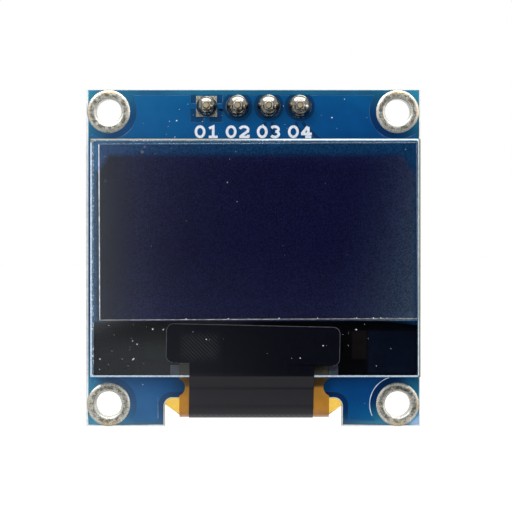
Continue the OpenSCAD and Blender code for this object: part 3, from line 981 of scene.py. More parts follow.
@dataclass(frozen=True)
class TapeSkin(Finish):
    """Black tape: smooth over the glass, duller and lighter down the cable, with a hatched painted highlight
    round the fold.
    """

    tail_colour: str = "#0b0a14"
    fold_highlight_colour: str = "#4b4b51"
    stripe_field_colour: str = "#2b2d31"
    smooth: float = 0.13
    change: float = -9.5
    fold: float = -12.68
    stripe_field_x: float = -4.3
    stripe_field_z: float = -7.2

    def tail(self, z: Value) -> Value:
        """One on the tail, down from below the glass."""
        return z.ramp(self.change - 0.5, self.change + 0.4, 1.0, 0.0)

    def base(self, paint: Paint) -> Source:
        """Colour before the grain: a veined tail, a hatched painted highlight at the fold and a faint
        hatched field on the head.

        Args:
            paint: material under construction.

        Returns:
            The colour.
        """
        x, z = paint.places()
        tail = self.tail(z)
        veins = paint.cloud(0.25, 3, squeeze=(1.0, 0.15, 0.12)).ramp(0.3, 0.7, 0.9, 1.12)
        colour = paint.blend(tail, self.colour, self.tail_colour)
        colour = paint.blend(tail, colour, paint.blend(1.0, colour, veins, "MULTIPLY"))
        # painted highlight: pale diagonal bars where the tape bends round the fold
        bars = (14.0 * (x + 1.3 * z)).math("SINE").ramp(-0.6, 0.6, 0.45, 1.0)
        colour = paint.blend(z.ramp(self.fold, self.fold - 0.12, 0.0, 0.8) * bars, colour, self.fold_highlight_colour)
        # a faint field of diagonal stripes on the head
        field = x.band(self.stripe_field_x, 1.45, 0.55) * z.band(self.stripe_field_z, 1.0, 0.5)
        lines = (20.0 * (x + z)).math("SINE").ramp(-0.5, 0.7, 0.1, 0.55)
        return paint.blend(field * lines, colour, self.stripe_field_colour)

    def dress(self, paint: Paint) -> None:
        """Adds to the plain dress that the tail is duller than the head."""
        super().dress(paint)
        paint.set(Roughness=self.tail(paint.places()[1]).ramp(0.0, 1.0, self.smooth, self.rough))


@dataclass(frozen=True)
class CableFilm(Finish):
    """Amber film over copper: darker at the top, down to a little below the glass, and pale with a painted
    highlight where it bends.
    """

    upper_dark_colour: str = "#1a160c"
    bend_highlight_colour: str = "#e0a878"

    def base(self, paint: Paint) -> Source:
        """Colour before the grain.

        Args:
            paint: material under construction.

        Returns:
            The colour.
        """
        x, z = paint.places()
        # darker at the top, more so to the right
        upper_dark = z.ramp(-10.6, -10.3) * x.ramp(-5.0, 5.0, 0.6, 0.84)
        colour = paint.blend(upper_dark, self.colour, self.upper_dark_colour)
        # painted highlight: pale where the film bends round the fold
        return paint.blend(z.ramp(-12.65, -12.85, 0.0, 0.9), colour, self.bend_highlight_colour)


@dataclass(frozen=True)
class LedgeView(Finish):
    """What shows through the glass ledge: near black, with a pale field, a brown band and a navy one.

    Each field holds its left, right, lower and upper edge and its colour.
    """

    fields: tuple[tuple[float, float, float, float, str], ...] = (
        (-8.8, -7.0, -8.15, -6.85, "#121614"),
        (8.0, 9.2, -8.2, -5.9, "#181210"),
        (9.3, 13.5, -9.4, -5.9, "#0a1220"),
    )

    def base(self, paint: Paint) -> Source:
        """Colour before the grain.

        Args:
            paint: material under construction.

        Returns:
            The colour.
        """
        x, z = paint.places()
        colour = self.colour
        for left, right, low, high, tone in self.fields:
            across = x.band((left + right) / 2, (right - left) / 2)
            colour = paint.blend(across * z.band((low + high) / 2, (high - low) / 2), colour, tone)
        return colour


class Palette:
    """The finishes of the module."""

    MASK = SolderMask(
        "mask_over_copper", "#06548a", rough=0.14, specular=0.34, tone=0.06, depth=0.002, dust=0.03,
        dust_size=0.16,
    )
    MASK_BARE = SolderMask(
        "mask_over_laminate", "#0c416c", rough=0.14, specular=0.34, tone=0.08, depth=0.002, dust=0.02,
        dust_size=0.16, shaded_colour="#062a56", rim_colour="#2b84a2", rim_share=0.9, rim_from=11.0,
    )
    # Painted highlights: light lines along the copper's edge, one bright and one softer
    BRIGHT_GLINT_LINE = Finish("bright_glint_line", "#cfe2f4", rough=0.3, specular=0.4, grain=0.6, tone=0.3, depth=0.0)
    SOFT_GLINT_LINE = Finish("soft_glint_line", "#7fa8cc", rough=0.3, specular=0.4, grain=0.6, tone=0.3, depth=0.0)
    LAMINATE = Laminate(
        "laminate_edge", "#cfccae", rough=0.8, specular=0.2, grain=0.12, tone=0.16, depth=0.01
    )
    STRIP = Finish("pale_laminate_face", "#e2e6e8", rough=0.7, specular=0.2, grain=0.3, tone=0.1)
    TIN = Tin("levelled_tin", "#bfbbad", metal=1.0, mottle=0.42, shine=0.1, depth=0.026)
    RING = RingTin("ring_tin", "#cbc9be", metal=0.5, mottle=0.42, shade=0.22, depth=0.018)
    SOLDER = Tin("bright_solder", "#8b887f", metal=1.0, mottle=0.8, shine=0.6, depth=0.012)
    JOINT = Tin("joint_solder", "#c9c7c2", metal=1.0, mottle=0.6, shade=0.3, shine=0.3, depth=0.01)
    PIN = Finish("pin_plating", "#b3a58a", rough=0.36, metal=1.0, grain=0.5, tone=0.1, depth=0.001)
    INK = Finish("printed_white", "#e6eef8", rough=0.6, specular=0.2, grain=0.2, tone=0.1, depth=0.008)
    HOUSING = Finish(
        "header_moulding", "#121214", rough=0.42, specular=0.35, grain=0.3, tone=0.1, depth=0.006
    )
    GLASS = Glass("clear_glass", "#f2f8ff", rough=0.0, grain=9.0, tone=0.01)
    GROUND = GroundEdge("ground_edge", "#c2d6ea", specular=0.3, grain=0.16, tone=0.22, depth=0.01)
    CHIPPED = ChippedEdge("chipped_edge", "#4f6478", specular=0.3, grain=0.3, tone=0.2, depth=0.01)
    CAP = Glass("rear_glass", "#dcebf5", rough=0.03, grain=9.0, tone=0.02)
    FILM = Glass("polarizer_film", "#bcbfd1", rough=0.01, grain=6.0, tone=0.02)
    # Painted highlight lines along the polarizer's cut edges
    FILM_EDGE = Finish("film_edge", "#dfe7ee", rough=0.4, specular=0.3, grain=0.35, tone=0.4, depth=0.0)
    FILM_LOW = Finish("film_low", "#9a9c9c", rough=0.4, specular=0.3, grain=0.3, tone=0.6, depth=0.0)
    FILM_RIM = Finish("film_rim", "#5d7280", rough=0.4, specular=0.3, grain=0.25, tone=0.4, depth=0.0)
    PIXELS = PixelFilm("emitting_layer", "#464571", rough=0.6, specular=0.0, grain=0.1, tone=0.4, depth=0.0)
    DRYING = Finish("drying_sheet", "#8d8a80", rough=0.9, specular=0.2, grain=0.2, tone=0.1, depth=0.01)
    FOAM = Finish("black_foam", "#0b0d12", rough=0.9, specular=0.04, grain=0.3, tone=0.2, depth=0.02)
    LEDGE = LedgeView("ledge_foam", "#04050a", rough=0.9, specular=0.0, grain=0.4, tone=0.15, depth=0.0)
    TAPE = TapeSkin(
        "black_tape", "#090b13", specular=0.35, grain=0.4, tone=0.12, depth=0.003, dust=0.015, dust_size=0.16
    )
    # Painted highlight along the tape head's cut edge
    TAPE_EDGE_GLINT = Finish("tape_edge_glint", "#474952", specular=0.3, grain=0.5, tone=0.5, depth=0.0)
    FLEX = Finish(
        "amber_film", "#fbcf5c", rough=0.25, specular=0.3, transmission=0.88, grain=2.0, tone=0.05,
        depth=0.002,
    )
    FLEX_COPPER = CableFilm(
        "amber_over_copper", "#c38b2d", rough=0.28, specular=0.25, transmission=0.4, grain=1.2, tone=0.1,
        depth=0.002,
    )
    TRACE = Finish("copper_under_film", "#8f5417", rough=0.3, metal=0.6, grain=1.0, tone=0.15, depth=0.0)
    GLUE = Finish("clear_glue", "#50565f", specular=0.05, transmission=0.3, grain=0.8, tone=0.2, depth=0.01)
    BOND = Finish("bonding_film", "#4a4436", rough=0.6, specular=0.0, grain=0.5, tone=0.2, depth=0.0)
    DIE = Finish("lapped_silicon", "#3b3e44", rough=0.3, metal=0.7, grain=2.0, depth=0.0)
    RESISTOR = Finish("resistor_coat", "#18181b", rough=0.35, grain=0.3, tone=0.12, depth=0.006)
    CAPACITOR = Finish("capacitor_ceramic", "#a98a63", rough=0.55, grain=0.25, tone=0.12, depth=0.008)
    MOULD = Finish("regulator_moulding", "#1d1e21", grain=0.15, tone=0.18, depth=0.01)
    # Dust, and the painted glints along the film's lower edge
    DUST_AND_GLINT = Finish("dust_and_glint_flake", "#eef3f8", rough=0.6, specular=0.3, grain=0.1, tone=0.1, depth=0.0)
    SMEAR = Finish("dull_smear", "#565d6e", rough=0.7, specular=0.1, grain=0.12, tone=0.35, depth=0.0)


def make_piece(
    name: str,
    shell: Shell,
    slot: Slot,
    *finishes: Finish,
    stands_for: Sequence[str] = (),
    smooth: float = 35.0,
) -> None:
    """Turns a shell upright, in metres, and adds it to the module.

    Args:
        name: name of the piece.
        shell: its shape.
        slot: material slot of the record; not used.
        *finishes: finishes, picked by the shell's finish numbers.
        stands_for: CAD nodes that it replaces.
        smooth: angle, in degrees, under which edges are shaded smooth, or 0.
    """
    x, y, z = shell.points.T
    mesh = bpy.data.meshes.new(name)
    mesh.from_pydata(np.column_stack((x, -z, y)) * MM, [], shell.faces)
    mesh.polygons.foreach_set("material_index", np.array(shell.tags, np.int32))
    for finish in finishes:
        mesh.materials.append(finish.material())
    mesh.update()
    if smooth > 0:
        mesh.polygons.foreach_set("use_smooth", [True] * len(mesh.polygons))
        mesh.set_sharp_from_angle(angle=math.radians(smooth))
    piece = bpy.data.objects.new(name, mesh)
    bpy.context.scene.collection.objects.link(piece)
    if stands_for:
        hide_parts(*stands_for)
    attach(piece, "root")
    LOG.info("%s: %d faces", name, len(mesh.polygons))


def repaint(nodes: dict[str, bpy.types.Object], **finishes: Finish) -> None:
    """Gives CAD nodes their finishes.

    Args:
        nodes: the CAD nodes by name.
        **finishes: a finish for each node's name.
    """
    for name, finish in finishes.items():
        materials = nodes[name].data.materials
        materials.clear()
        materials.append(finish.material())
        LOG.info("%s: repainted with %s", name, finish.name)


# ---------------------------------------------------------------- circuit board


@dataclass(frozen=True)
class NotchedOutline:
    """Outlines of the square board with its notch, and of the copper, which keeps clear of holes.

    They run anticlockwise from the lower left corner.
    """

    width: float
    height: float
    hole_x: float
    hole_y: float
    ring_r: float
    pad_r: float
    notch_w: float = 14.5
    notch_depth: float = 2.3
    notch_r: float = 0.65
    inset: float = 0.45
    notch_gap: float = 0.5
    ring_gap: float = 0.53
    pad_gap: float = 0.27

    @classmethod
    def of(cls, board: Box, ring: Box, pad: Box) -> "NotchedOutline":
        """Reads the sizes from the CAD board, its upper right ring and a round pad."""
        return cls(board.width, board.height, ring.x, ring.y, ring.width / 2, pad.width / 2)

    @property
    def copper_top(self) -> float:
        """Height of the copper's upper edge."""
        return self.height / 2 - self.inset

    def notch(self, floor: float, gap: float) -> np.ndarray:
        """The notch's edge, from left to right.

        Args:
            floor: height at which it starts and ends.
            gap: how far it is moved into the board.

        Returns:
            Its points.
        """
        half, r = self.notch_w / 2, self.notch_r + gap
        x, y = half - self.notch_r, -self.height / 2 + self.notch_depth - self.notch_r
        arcs = (arc(-x, y, r, 180, 90), arc(x, y, r, 90, 0))
        return np.vstack([[(-half - gap, floor)], *arcs, [(half + gap, floor)]])

    def edge(
        self, left: float = 0.0, right: float = 0.0, bottom: float = 0.0, top: float = 0.0, gap: float = 0.0
    ) -> np.ndarray:
        """The board's own edge, moved inwards on each side and in the notch.

        Args:
            left: shift of the left side.
            right: shift of the right side.
            bottom: shift of the lower side.
            top: shift of the upper side.
            gap: shift of the notch.

        Returns:
            Points of the outline.
        """
        x0, x1 = left - self.width / 2, self.width / 2 - right
        y0, y1 = bottom - self.height / 2, self.height / 2 - top
        return np.vstack([[(x0, y0)], self.notch(y0, gap), [(x1, y0), (x1, y1), (x0, y1)]])

    def bite(self, x_side: int, y_side: int) -> np.ndarray:
        """Hollow arc round a corner hole, where the copper keeps away from its ring.

        The arc runs between two sides of the copper, on the side of the hole
        that faces the middle of the board.

        Args:
            x_side: 1 for a right hole, -1 for a left one.
            y_side: 1 for an upper hole, -1 for a lower one.

        Returns:
            Points of the arc.
        """
        r = self.ring_r + self.ring_gap
        right, up = self.width / 2 - self.inset - self.hole_x, self.copper_top - self.hole_y
        start = math.degrees(math.atan2(-math.sqrt(r * r - right * right), right))
        end = math.degrees(math.atan2(up, -math.sqrt(r * r - up * up)))
        points = arc(self.hole_x, self.hole_y, r, start, end - 360, 25) * (x_side, y_side)
        return points if x_side * y_side > 0 else points[::-1]

    def dip(self, pad: Box) -> np.ndarray:
        """Hollow arc round a pad that lies on the copper's upper edge, from right to left.

        Args:
            pad: the pad.

        Returns:
            Points of the arc.
        """
        r = self.pad_r + self.pad_gap
        start = math.degrees(math.asin((self.copper_top - pad.y) / r))
        return arc(pad.x, pad.y, r, start, -180 - start, 25)

    def copper(self, dips: Sequence[np.ndarray]) -> np.ndarray:
        """The copper's edge.

        Args:
            dips: hollows in its upper side, from right to left.

        Returns:
            Points of the outline.
        """
        notch = self.notch(-self.copper_top, self.notch_gap)
        lower = (self.bite(-1, -1), notch, self.bite(1, -1))
        return np.vstack([*lower, self.bite(1, 1), *dips, self.bite(-1, 1)])


@dataclass(frozen=True)
class JointRow:
    """Places of the flex cable's soldered joints on the rear face."""

    box: Box
    count: int = 30
    pad_w: float = 0.36

    def x(self, number: int) -> float:
        """Middle of a joint, counted from the left."""
        pitch = (self.box.width - self.pad_w) / (self.count - 1)
        return self.box.left + self.pad_w / 2 + number * pitch


@dataclass
class BoardDress:
    """Laminate, solder mask with the copper under it, levelled rings and printed numbers."""

    outline: NotchedOutline
    rings: list[Box]
    pads: list[Box]
    edge_left: float = 0.19
    edge_right: float = 0.1
    edge_bottom: float = 0.13
    edge_top: float = 0.045
    notch_edge: float = 0.07
    plating_w: float = 0.7
    bore_wall: float = 0.04
    thickness: float = 1.2
    core_low: float = 0.02
    core_high: float = 1.17
    mask_level: float = 1.19
    pour_level: float = 1.215
    sunk: float = 1.16
    spoke_w: float = 0.24
    spoke_l: float = 0.43
    slot_w: float = 0.86
    track_w: float = 0.36
    label_y: float = 10.3
    label_h: float = 1.0
    label_w: float = 1.4
    label_pitch: float = 1.06
    stroke_w: float = 0.235

    def __post_init__(self) -> None:
        """Works out the bores' radius."""
        self.bore_r = self.outline.ring_r - self.plating_w

    def holes(self, ring_r: float, pad_r: float) -> list[np.ndarray]:
        """Round holes at the rings and at the header pads."""
        rings = [circle(b.x, b.y, ring_r) for b in self.rings]
        return rings + [circle(b.x, b.y, pad_r, 32) for b in self.pads]

    def laminate(self) -> None:
        """Bare glass-fibre board, near white on its faces, where it shows beside the mask."""
        loops = [self.outline.edge(), *self.holes(self.bore_r + self.bore_wall, 0.54)]
        shell = plate(loops, self.core_low, self.core_high, 0.015)
        z, near = shell.points[:, 2], 0.005
        low, high = self.core_low + near, self.core_high - near
        shell.tags = [int(min(z[face]) > high or max(z[face]) < low) for face in shell.faces]
        finishes = (Palette.LAMINATE, Palette.STRIP)
        make_piece("board_laminate", shell, Slot.BOARD, *finishes, stands_for=("circuit_board",))

    def mask(self) -> None:
        """Mask on the bare laminate of both faces."""
        sides = (self.edge_left, self.edge_right, self.edge_bottom, self.edge_top)
        loops = [self.outline.edge(*sides, self.notch_edge), *self.holes(self.outline.ring_r + 0.02, 0.6)]
        shells = [plate(loops, self.mask_level - 0.04, self.mask_level, 0.01), plate(loops, 0.0, 0.04, 0.01)]
        make_piece("solder_mask", Shell.joined(shells), Slot.BOARD, Palette.MASK_BARE)

    def relief(self) -> np.ndarray:
        """Gap round the square pad, open at the top, that leaves a spoke on the three other sides.

        Returns:
            Points from the copper's upper edge round the pad and back to it.
        """
        pad, spoke = self.pads[0], self.spoke_w
        near = pad.width / 2 + 0.01
        far = near + self.spoke_l
        rise = self.outline.copper_top - pad.y
        right = [(far, rise), (far, spoke), (near, spoke), (near, -spoke), (far, -spoke), (far, -far)]
        half = np.array([*right, (spoke, -far), (spoke, -near)])
        return np.vstack((half, half[::-1] * (-1, 1))) + (pad.x, pad.y)

    def signal_paths(self) -> list[list[tuple[float, float]]]:
        """Tracks that leave the third and the fourth pad and run under the display.

        Returns:
            Points of each track.
        """
        third, fourth = self.pads[2], self.pads[3]
        start = third.bottom - self.outline.pad_gap - 0.06
        return [
            [(third.x, start), (third.x, 8.2)],
            [(fourth.x, start), (fourth.x, start - 0.3), (fourth.x + 2.9, start - 3.2)],
        ]

    def front_copper(self) -> None:
        """Copper on the front face, raised a little under the mask."""
        paths = self.signal_paths()
        dips = [*map(self.outline.dip, self.pads[:0:-1]), self.relief()]
        loops = [self.outline.copper(dips), *(strip_loop(path, self.slot_w) for path in paths)]
        shells = [plate(loops, self.sunk, self.pour_level, 0.026)]
        shells += [track(path, self.track_w, self.sunk, self.pour_level - 0.01, 0.03) for path in paths]
        make_piece("front_copper", Shell.joined(shells), Slot.BOARD, Palette.MASK)

    def painted_glint_lines(self) -> None:
        """Painted highlight lines along the copper's edge: round the lower right hole and beside the notch.
        """
        level = (self.mask_level, self.pour_level + 0.004)
        ring, outline = max(self.rings, key=lambda b: b.x - b.y), self.outline
        curve = arc(ring.x, ring.y, outline.ring_r + outline.ring_gap + 0.02, 108, 204, 25)
        side = -outline.notch_w / 2 - outline.notch_gap - 0.02
        line = [(side, -11.4), (side, -13.1)]
        shells = [track(curve, 0.09, *level, 0.03), track(line, 0.05, *level, 0.02, 1)]
        make_piece("painted_glint_lines", Shell.joined(shells), Slot.BOARD, Palette.BRIGHT_GLINT_LINE, Palette.SOFT_GLINT_LINE)

    def levelled_rings(self) -> None:
        """Tin on the four rings and in their bores, heaped between the two edges."""
        bore, ring = self.bore_r, self.outline.ring_r
        heap = [(0.0, 1.18), (0.02, 1.206), (0.07, 1.238), (0.13, 1.262), (0.2, 1.275), (0.28, 1.28)]
        heap += [(0.4, 1.28), (0.47, 1.276)]
        fall = [(0.16, 1.262), (0.09, 1.243), (0.035, 1.218), (0.008, 1.198), (0.0, 1.17)]
        front = [(bore + r, z) for r, z in heap] + [(ring - r, z) for r, z in fall]
        front = np.array([*front, (bore + self.bore_wall, 1.168)])
        rear = (front * (1, -1) + (0, self.thickness))[::-1]
        profile = np.vstack((front, rear))
        for i, box in enumerate(self.rings, 1):
            shell, node = lathe(profile, box.x, box.y, 96, 0.003, i), f"mounting_ring_{i}"
            make_piece(f"levelled_ring_{i}", shell, Slot.PLATING, Palette.RING, stands_for=(node,))

    def digit(self, mark: str) -> list[np.ndarray]:
        """Strokes of a digit, one unit high, with small feet where it stands.

        Args:
            mark: the digit, from 0 to 4.

        Returns:
            A path for each stroke.
        """
        return {
            "0": [arc(0.0, 0.0, 1.0, 90, 450, 29) * (0.24, 0.42) + (0.31, 0.5)],
            "1": [
                np.array([(0.08, 0.78), (0.32, 0.92), (0.32, 0.08)]),
                np.array([(0.06, 0.08), (0.58, 0.08)]),
            ],
            "2": [
                np.vstack([arc(0.3, 0.67, 0.245, 165, -35, 13), [(0.08, 0.1)]]),
                np.array([(0.03, 0.08), (0.58, 0.08)]),
                np.array([(0.56, 0.02), (0.56, 0.26)]),
            ],
            "3": [arc(0.28, 0.7, 0.22, 150, -75, 11), arc(0.28, 0.3, 0.235, 80, -150, 13)],
            "4": [
                np.array([(0.42, 0.06), (0.42, 0.9)]),
                np.array([(0.4, 0.92), (0.05, 0.34)]),
                np.array([(0.0, 0.32), (0.62, 0.32)]),
                np.array([(0.24, 0.07), (0.6, 0.07)]),
            ],
        }[mark]

    def numbers(self) -> None:
        """Plain pin numbers under the header. Each stroke lies a little over the last."""
        shells = []
        for i, pad in enumerate(self.pads, 1):
            for k, mark in enumerate(f"0{i}"):
                corner = (pad.x + (k - 1) * self.label_pitch + 0.1, self.label_y - self.label_h / 2)
                for number, stroke in enumerate(self.digit(mark)):
                    path = stroke * (self.label_w, self.label_h) + corner
                    shells.append(track(path, self.stroke_w, self.mask_level, 1.228 + 0.002 * number, 0.015))
        make_piece("pin_numbers", Shell.joined(shells), Slot.BOARD, Palette.INK)

    def dress(self) -> None:
        """Makes everything on the board itself."""
        self.laminate()
        self.mask()
        self.front_copper()
        self.painted_glint_lines()
        self.levelled_rings()
        self.numbers()


@dataclass
class RearDress:
    """Copper, tracks, vias and printed outlines on the rear face."""

    outline: NotchedOutline
    pads: list[Box]
    parts: list[Box]
    joints: JointRow
    low: float = -0.022
    high: float = 0.012
    bevel: float = 0.014
    track_w: float = 0.25
    part_gap: float = 0.35

    def pour(self) -> Shell:
        """Copper round the edge, with room in the middle for the parts and their tracks.

        Returns:
            The copper.
        """
        loops = [self.outline.copper([*map(self.outline.dip, self.pads[::-1])])]
        loops.append(rectangle(0.15, 0.55, 22.0, 17.2, 0.8))
        return plate(loops, self.low, self.high, self.bevel)

    def islands(self) -> list[Shell]:
        """Copper fields that carry the supply between the parts."""
        fields = [(-6.9, 3.2, 5.2, 1.5), (6.1, 1.6, 6.4, 1.7), (-3.0, 0.35, 8.0, 0.9), (8.9, 8.2, 2.6, 1.6)]
        return [plate([rectangle(*field, 0.3)], self.low, self.high, self.bevel) for field in fields]

    def routes(self) -> list[np.ndarray]:
        """Paths of the tracks: cable joints to the row of parts, pins to their resistors, and the rest.

        Returns:
            A path for each track.
        """
        across = sorted(self.parts, key=lambda b: b.x)
        row, top = [b for b in across if b.y < 0], [b for b in across if b.y > 7]
        paths = []
        for i, part in enumerate(row):
            joint = self.joints.x(4 + 3 * i if i < 5 else 5 + 3 * i)
            paths.append(elbow((part.x, part.bottom - 0.1), (joint, self.joints.box.top - 0.2)))
            paths.append(elbow((part.x, part.top + 0.1), (part.x + 0.45, part.top + 1.3)))
        for part, pad in zip(top, self.pads[2:]):
            turn = (part.x + 0.25, 2.6)
            paths.append(elbow((pad.x, pad.bottom), (part.x, part.top - 0.1)))
            paths.append(elbow((part.x, part.bottom + 0.1), turn))
            paths.append(elbow(turn, (part.x - 1.35, -4.9)))
        second = self.pads[1]
        supply = (
            ((second.x, second.bottom), (-3.8, 7.2)),
            ((-3.8, 5.4), (-5.95, 5.0)),
            ((-9.9, 5.4), (-9.0, 3.6)),
            ((-0.2, 4.9), (2.2, 4.9)),
            ((-0.2, 3.1), (2.6, 2.4)),
            ((7.8, 6.3), (6.3, 4.9)),
            ((9.4, 6.3), (10.2, 4.2)),
        )
        return paths + [elbow(*ends) for ends in supply]

    def vias(self) -> Shell:
        """Raised rims of the small plated vias, each with a hollow middle.

        Returns:
            The rims.
        """
        places = [(-9.0, 3.4), (-5.4, 3.2), (6.3, 4.7), (10.2, 4.0), (2.2, 4.9), (8.9, 8.4), (9.5, 7.9)]
        places += [(side * 12.2, y) for side in (-1, 1) for y in (-6.5, -2.5, 1.5, 5.5)]
        places += [(x, -10.6) for x in (-9.4, -8.6, 8.7, 9.5)]
        rim = [(0.1, 0.01), (0.3, 0.01), (0.3, -0.02), (0.24, -0.032), (0.16, -0.032), (0.1, -0.02)]
        return Shell.joined([lathe(np.array(rim), x, y, 20) for x, y in places])

    def line(self, loop: np.ndarray, start: int, end: int, drop: float = 0.0) -> Shell:
        """A printed line between two corners of an outline."""
        return track(loop[[start, end]] + (0, -drop), 0.13, 0.0, -0.035, 0.01)

    def prints(self) -> list[Shell]:
        """Lines on the long sides of each part, and one under the square pad.

        Returns:
            The lines.
        """
        lines, grown = [], 2 * self.part_gap
        for part in self.parts:
            loop = rectangle(part.x, part.y, part.width + grown, part.height + grown)
            sides = ((1, 2), (3, 0)) if part.height > part.width else ((2, 3), (0, 1))
            lines += [self.line(loop, *side) for side in sides]
        square = self.pads[0]
        return [*lines, self.line(rectangle(square.x, square.y, 2.5, 2.4), 0, 1, 0.35)]

    def dress(self) -> None:
        """Makes the rear face's copper and print."""
        tracks = [track(path, self.track_w, self.high, self.low, 0.03) for path in self.routes()]
        shell = Shell.joined([self.pour(), *self.islands(), *tracks, self.vias()])
        make_piece("rear_copper", shell, Slot.BOARD, Palette.MASK)
        make_piece("rear_print", Shell.joined(self.prints()), Slot.BOARD, Palette.INK)


# ---------------------------------------------------------------- header


@dataclass
class Header:
    """Pin header: solder balls on the front, moulded housing behind, and plated pins."""

    pads: list[Box]
    housing: Box
    tip: float
    chamfer: float = 0.45
    ball_h: float = 1.18
    base: float = 1.2

    def ball(self, number: int) -> Shell:
        """A ball of solder drawn up round a pin.

        Its profile rises from a thin wetted foot into a near round side and
        closes against the pin.

        Args:
            number: number of the pin, from 1.

        Returns:
            The ball.
        """
        pad = self.pads[number - 1]
        foot = pad.width / 2
        steps, lift = np.radians(np.linspace(2, 62, 14)), math.sin(math.radians(16))
        height = self.ball_h / (math.sin(steps[-1]) + lift)
        side = np.column_stack((foot * 0.985 * np.cos(steps), self.base + height * (np.sin(steps) + lift)))
        crown = ((0.2, -0.03), (0.22, 0.012), (0.3, 0.01), (0.37, -0.03), (0.42, -0.1))
        crown = [(r, self.tip + z) for r, z in crown]
        skirt = ((0.955, 0.16), (0.98, 0.07), (1.01, 0.04), (1.01, 0.0))
        skirt = [(foot * share, self.base + z) for share, z in skirt]
        profile = np.vstack((crown, side[::-1], skirt, [(0.2, self.base)]))
        return lathe(profile, pad.x, pad.y, 72, 0.012, 10 + number)

    def body(self) -> Shell:
        """The housing: one segment for each pin with its corners cut off.

        Returns:
            The housing.
        """
        box, c, half = self.housing, self.chamfer, self.housing.height / 2
        pitch = box.width / len(self.pads)
        lower = []
        for i in range(len(self.pads)):
            x = box.left + i * pitch
            lower += [(x, -half + c), (x + c, -half), (x + pitch - c, -half)]
        lower.append((box.right, -half + c))
        loop = np.array(lower + [(x, -y) for x, y in lower[::-1]]) + (0, box.y)
        return plate([loop], box.rear, box.front, 0.06)

    def dress(self, nodes: dict[str, bpy.types.Object]) -> None:
        """Makes the solder and the housing, and gives the CAD pins and pads their finishes.

        Args:
            nodes: the CAD nodes by name.
        """
        for i in range(1, len(self.pads) + 1):
            shell, node = self.ball(i), f"pin_solder_{i}"
            make_piece(f"solder_ball_{i}", shell, Slot.SOLDER, Palette.SOLDER, stands_for=(node,), smooth=60)
            repaint(nodes, **{f"header_pin_{i}": Palette.PIN, f"pin_pad_{i}": Palette.TIN})
        make_piece("header_body", self.body(), Slot.HOUSING, Palette.HOUSING, stands_for=("header_housing",))


# ---------------------------------------------------------------- display


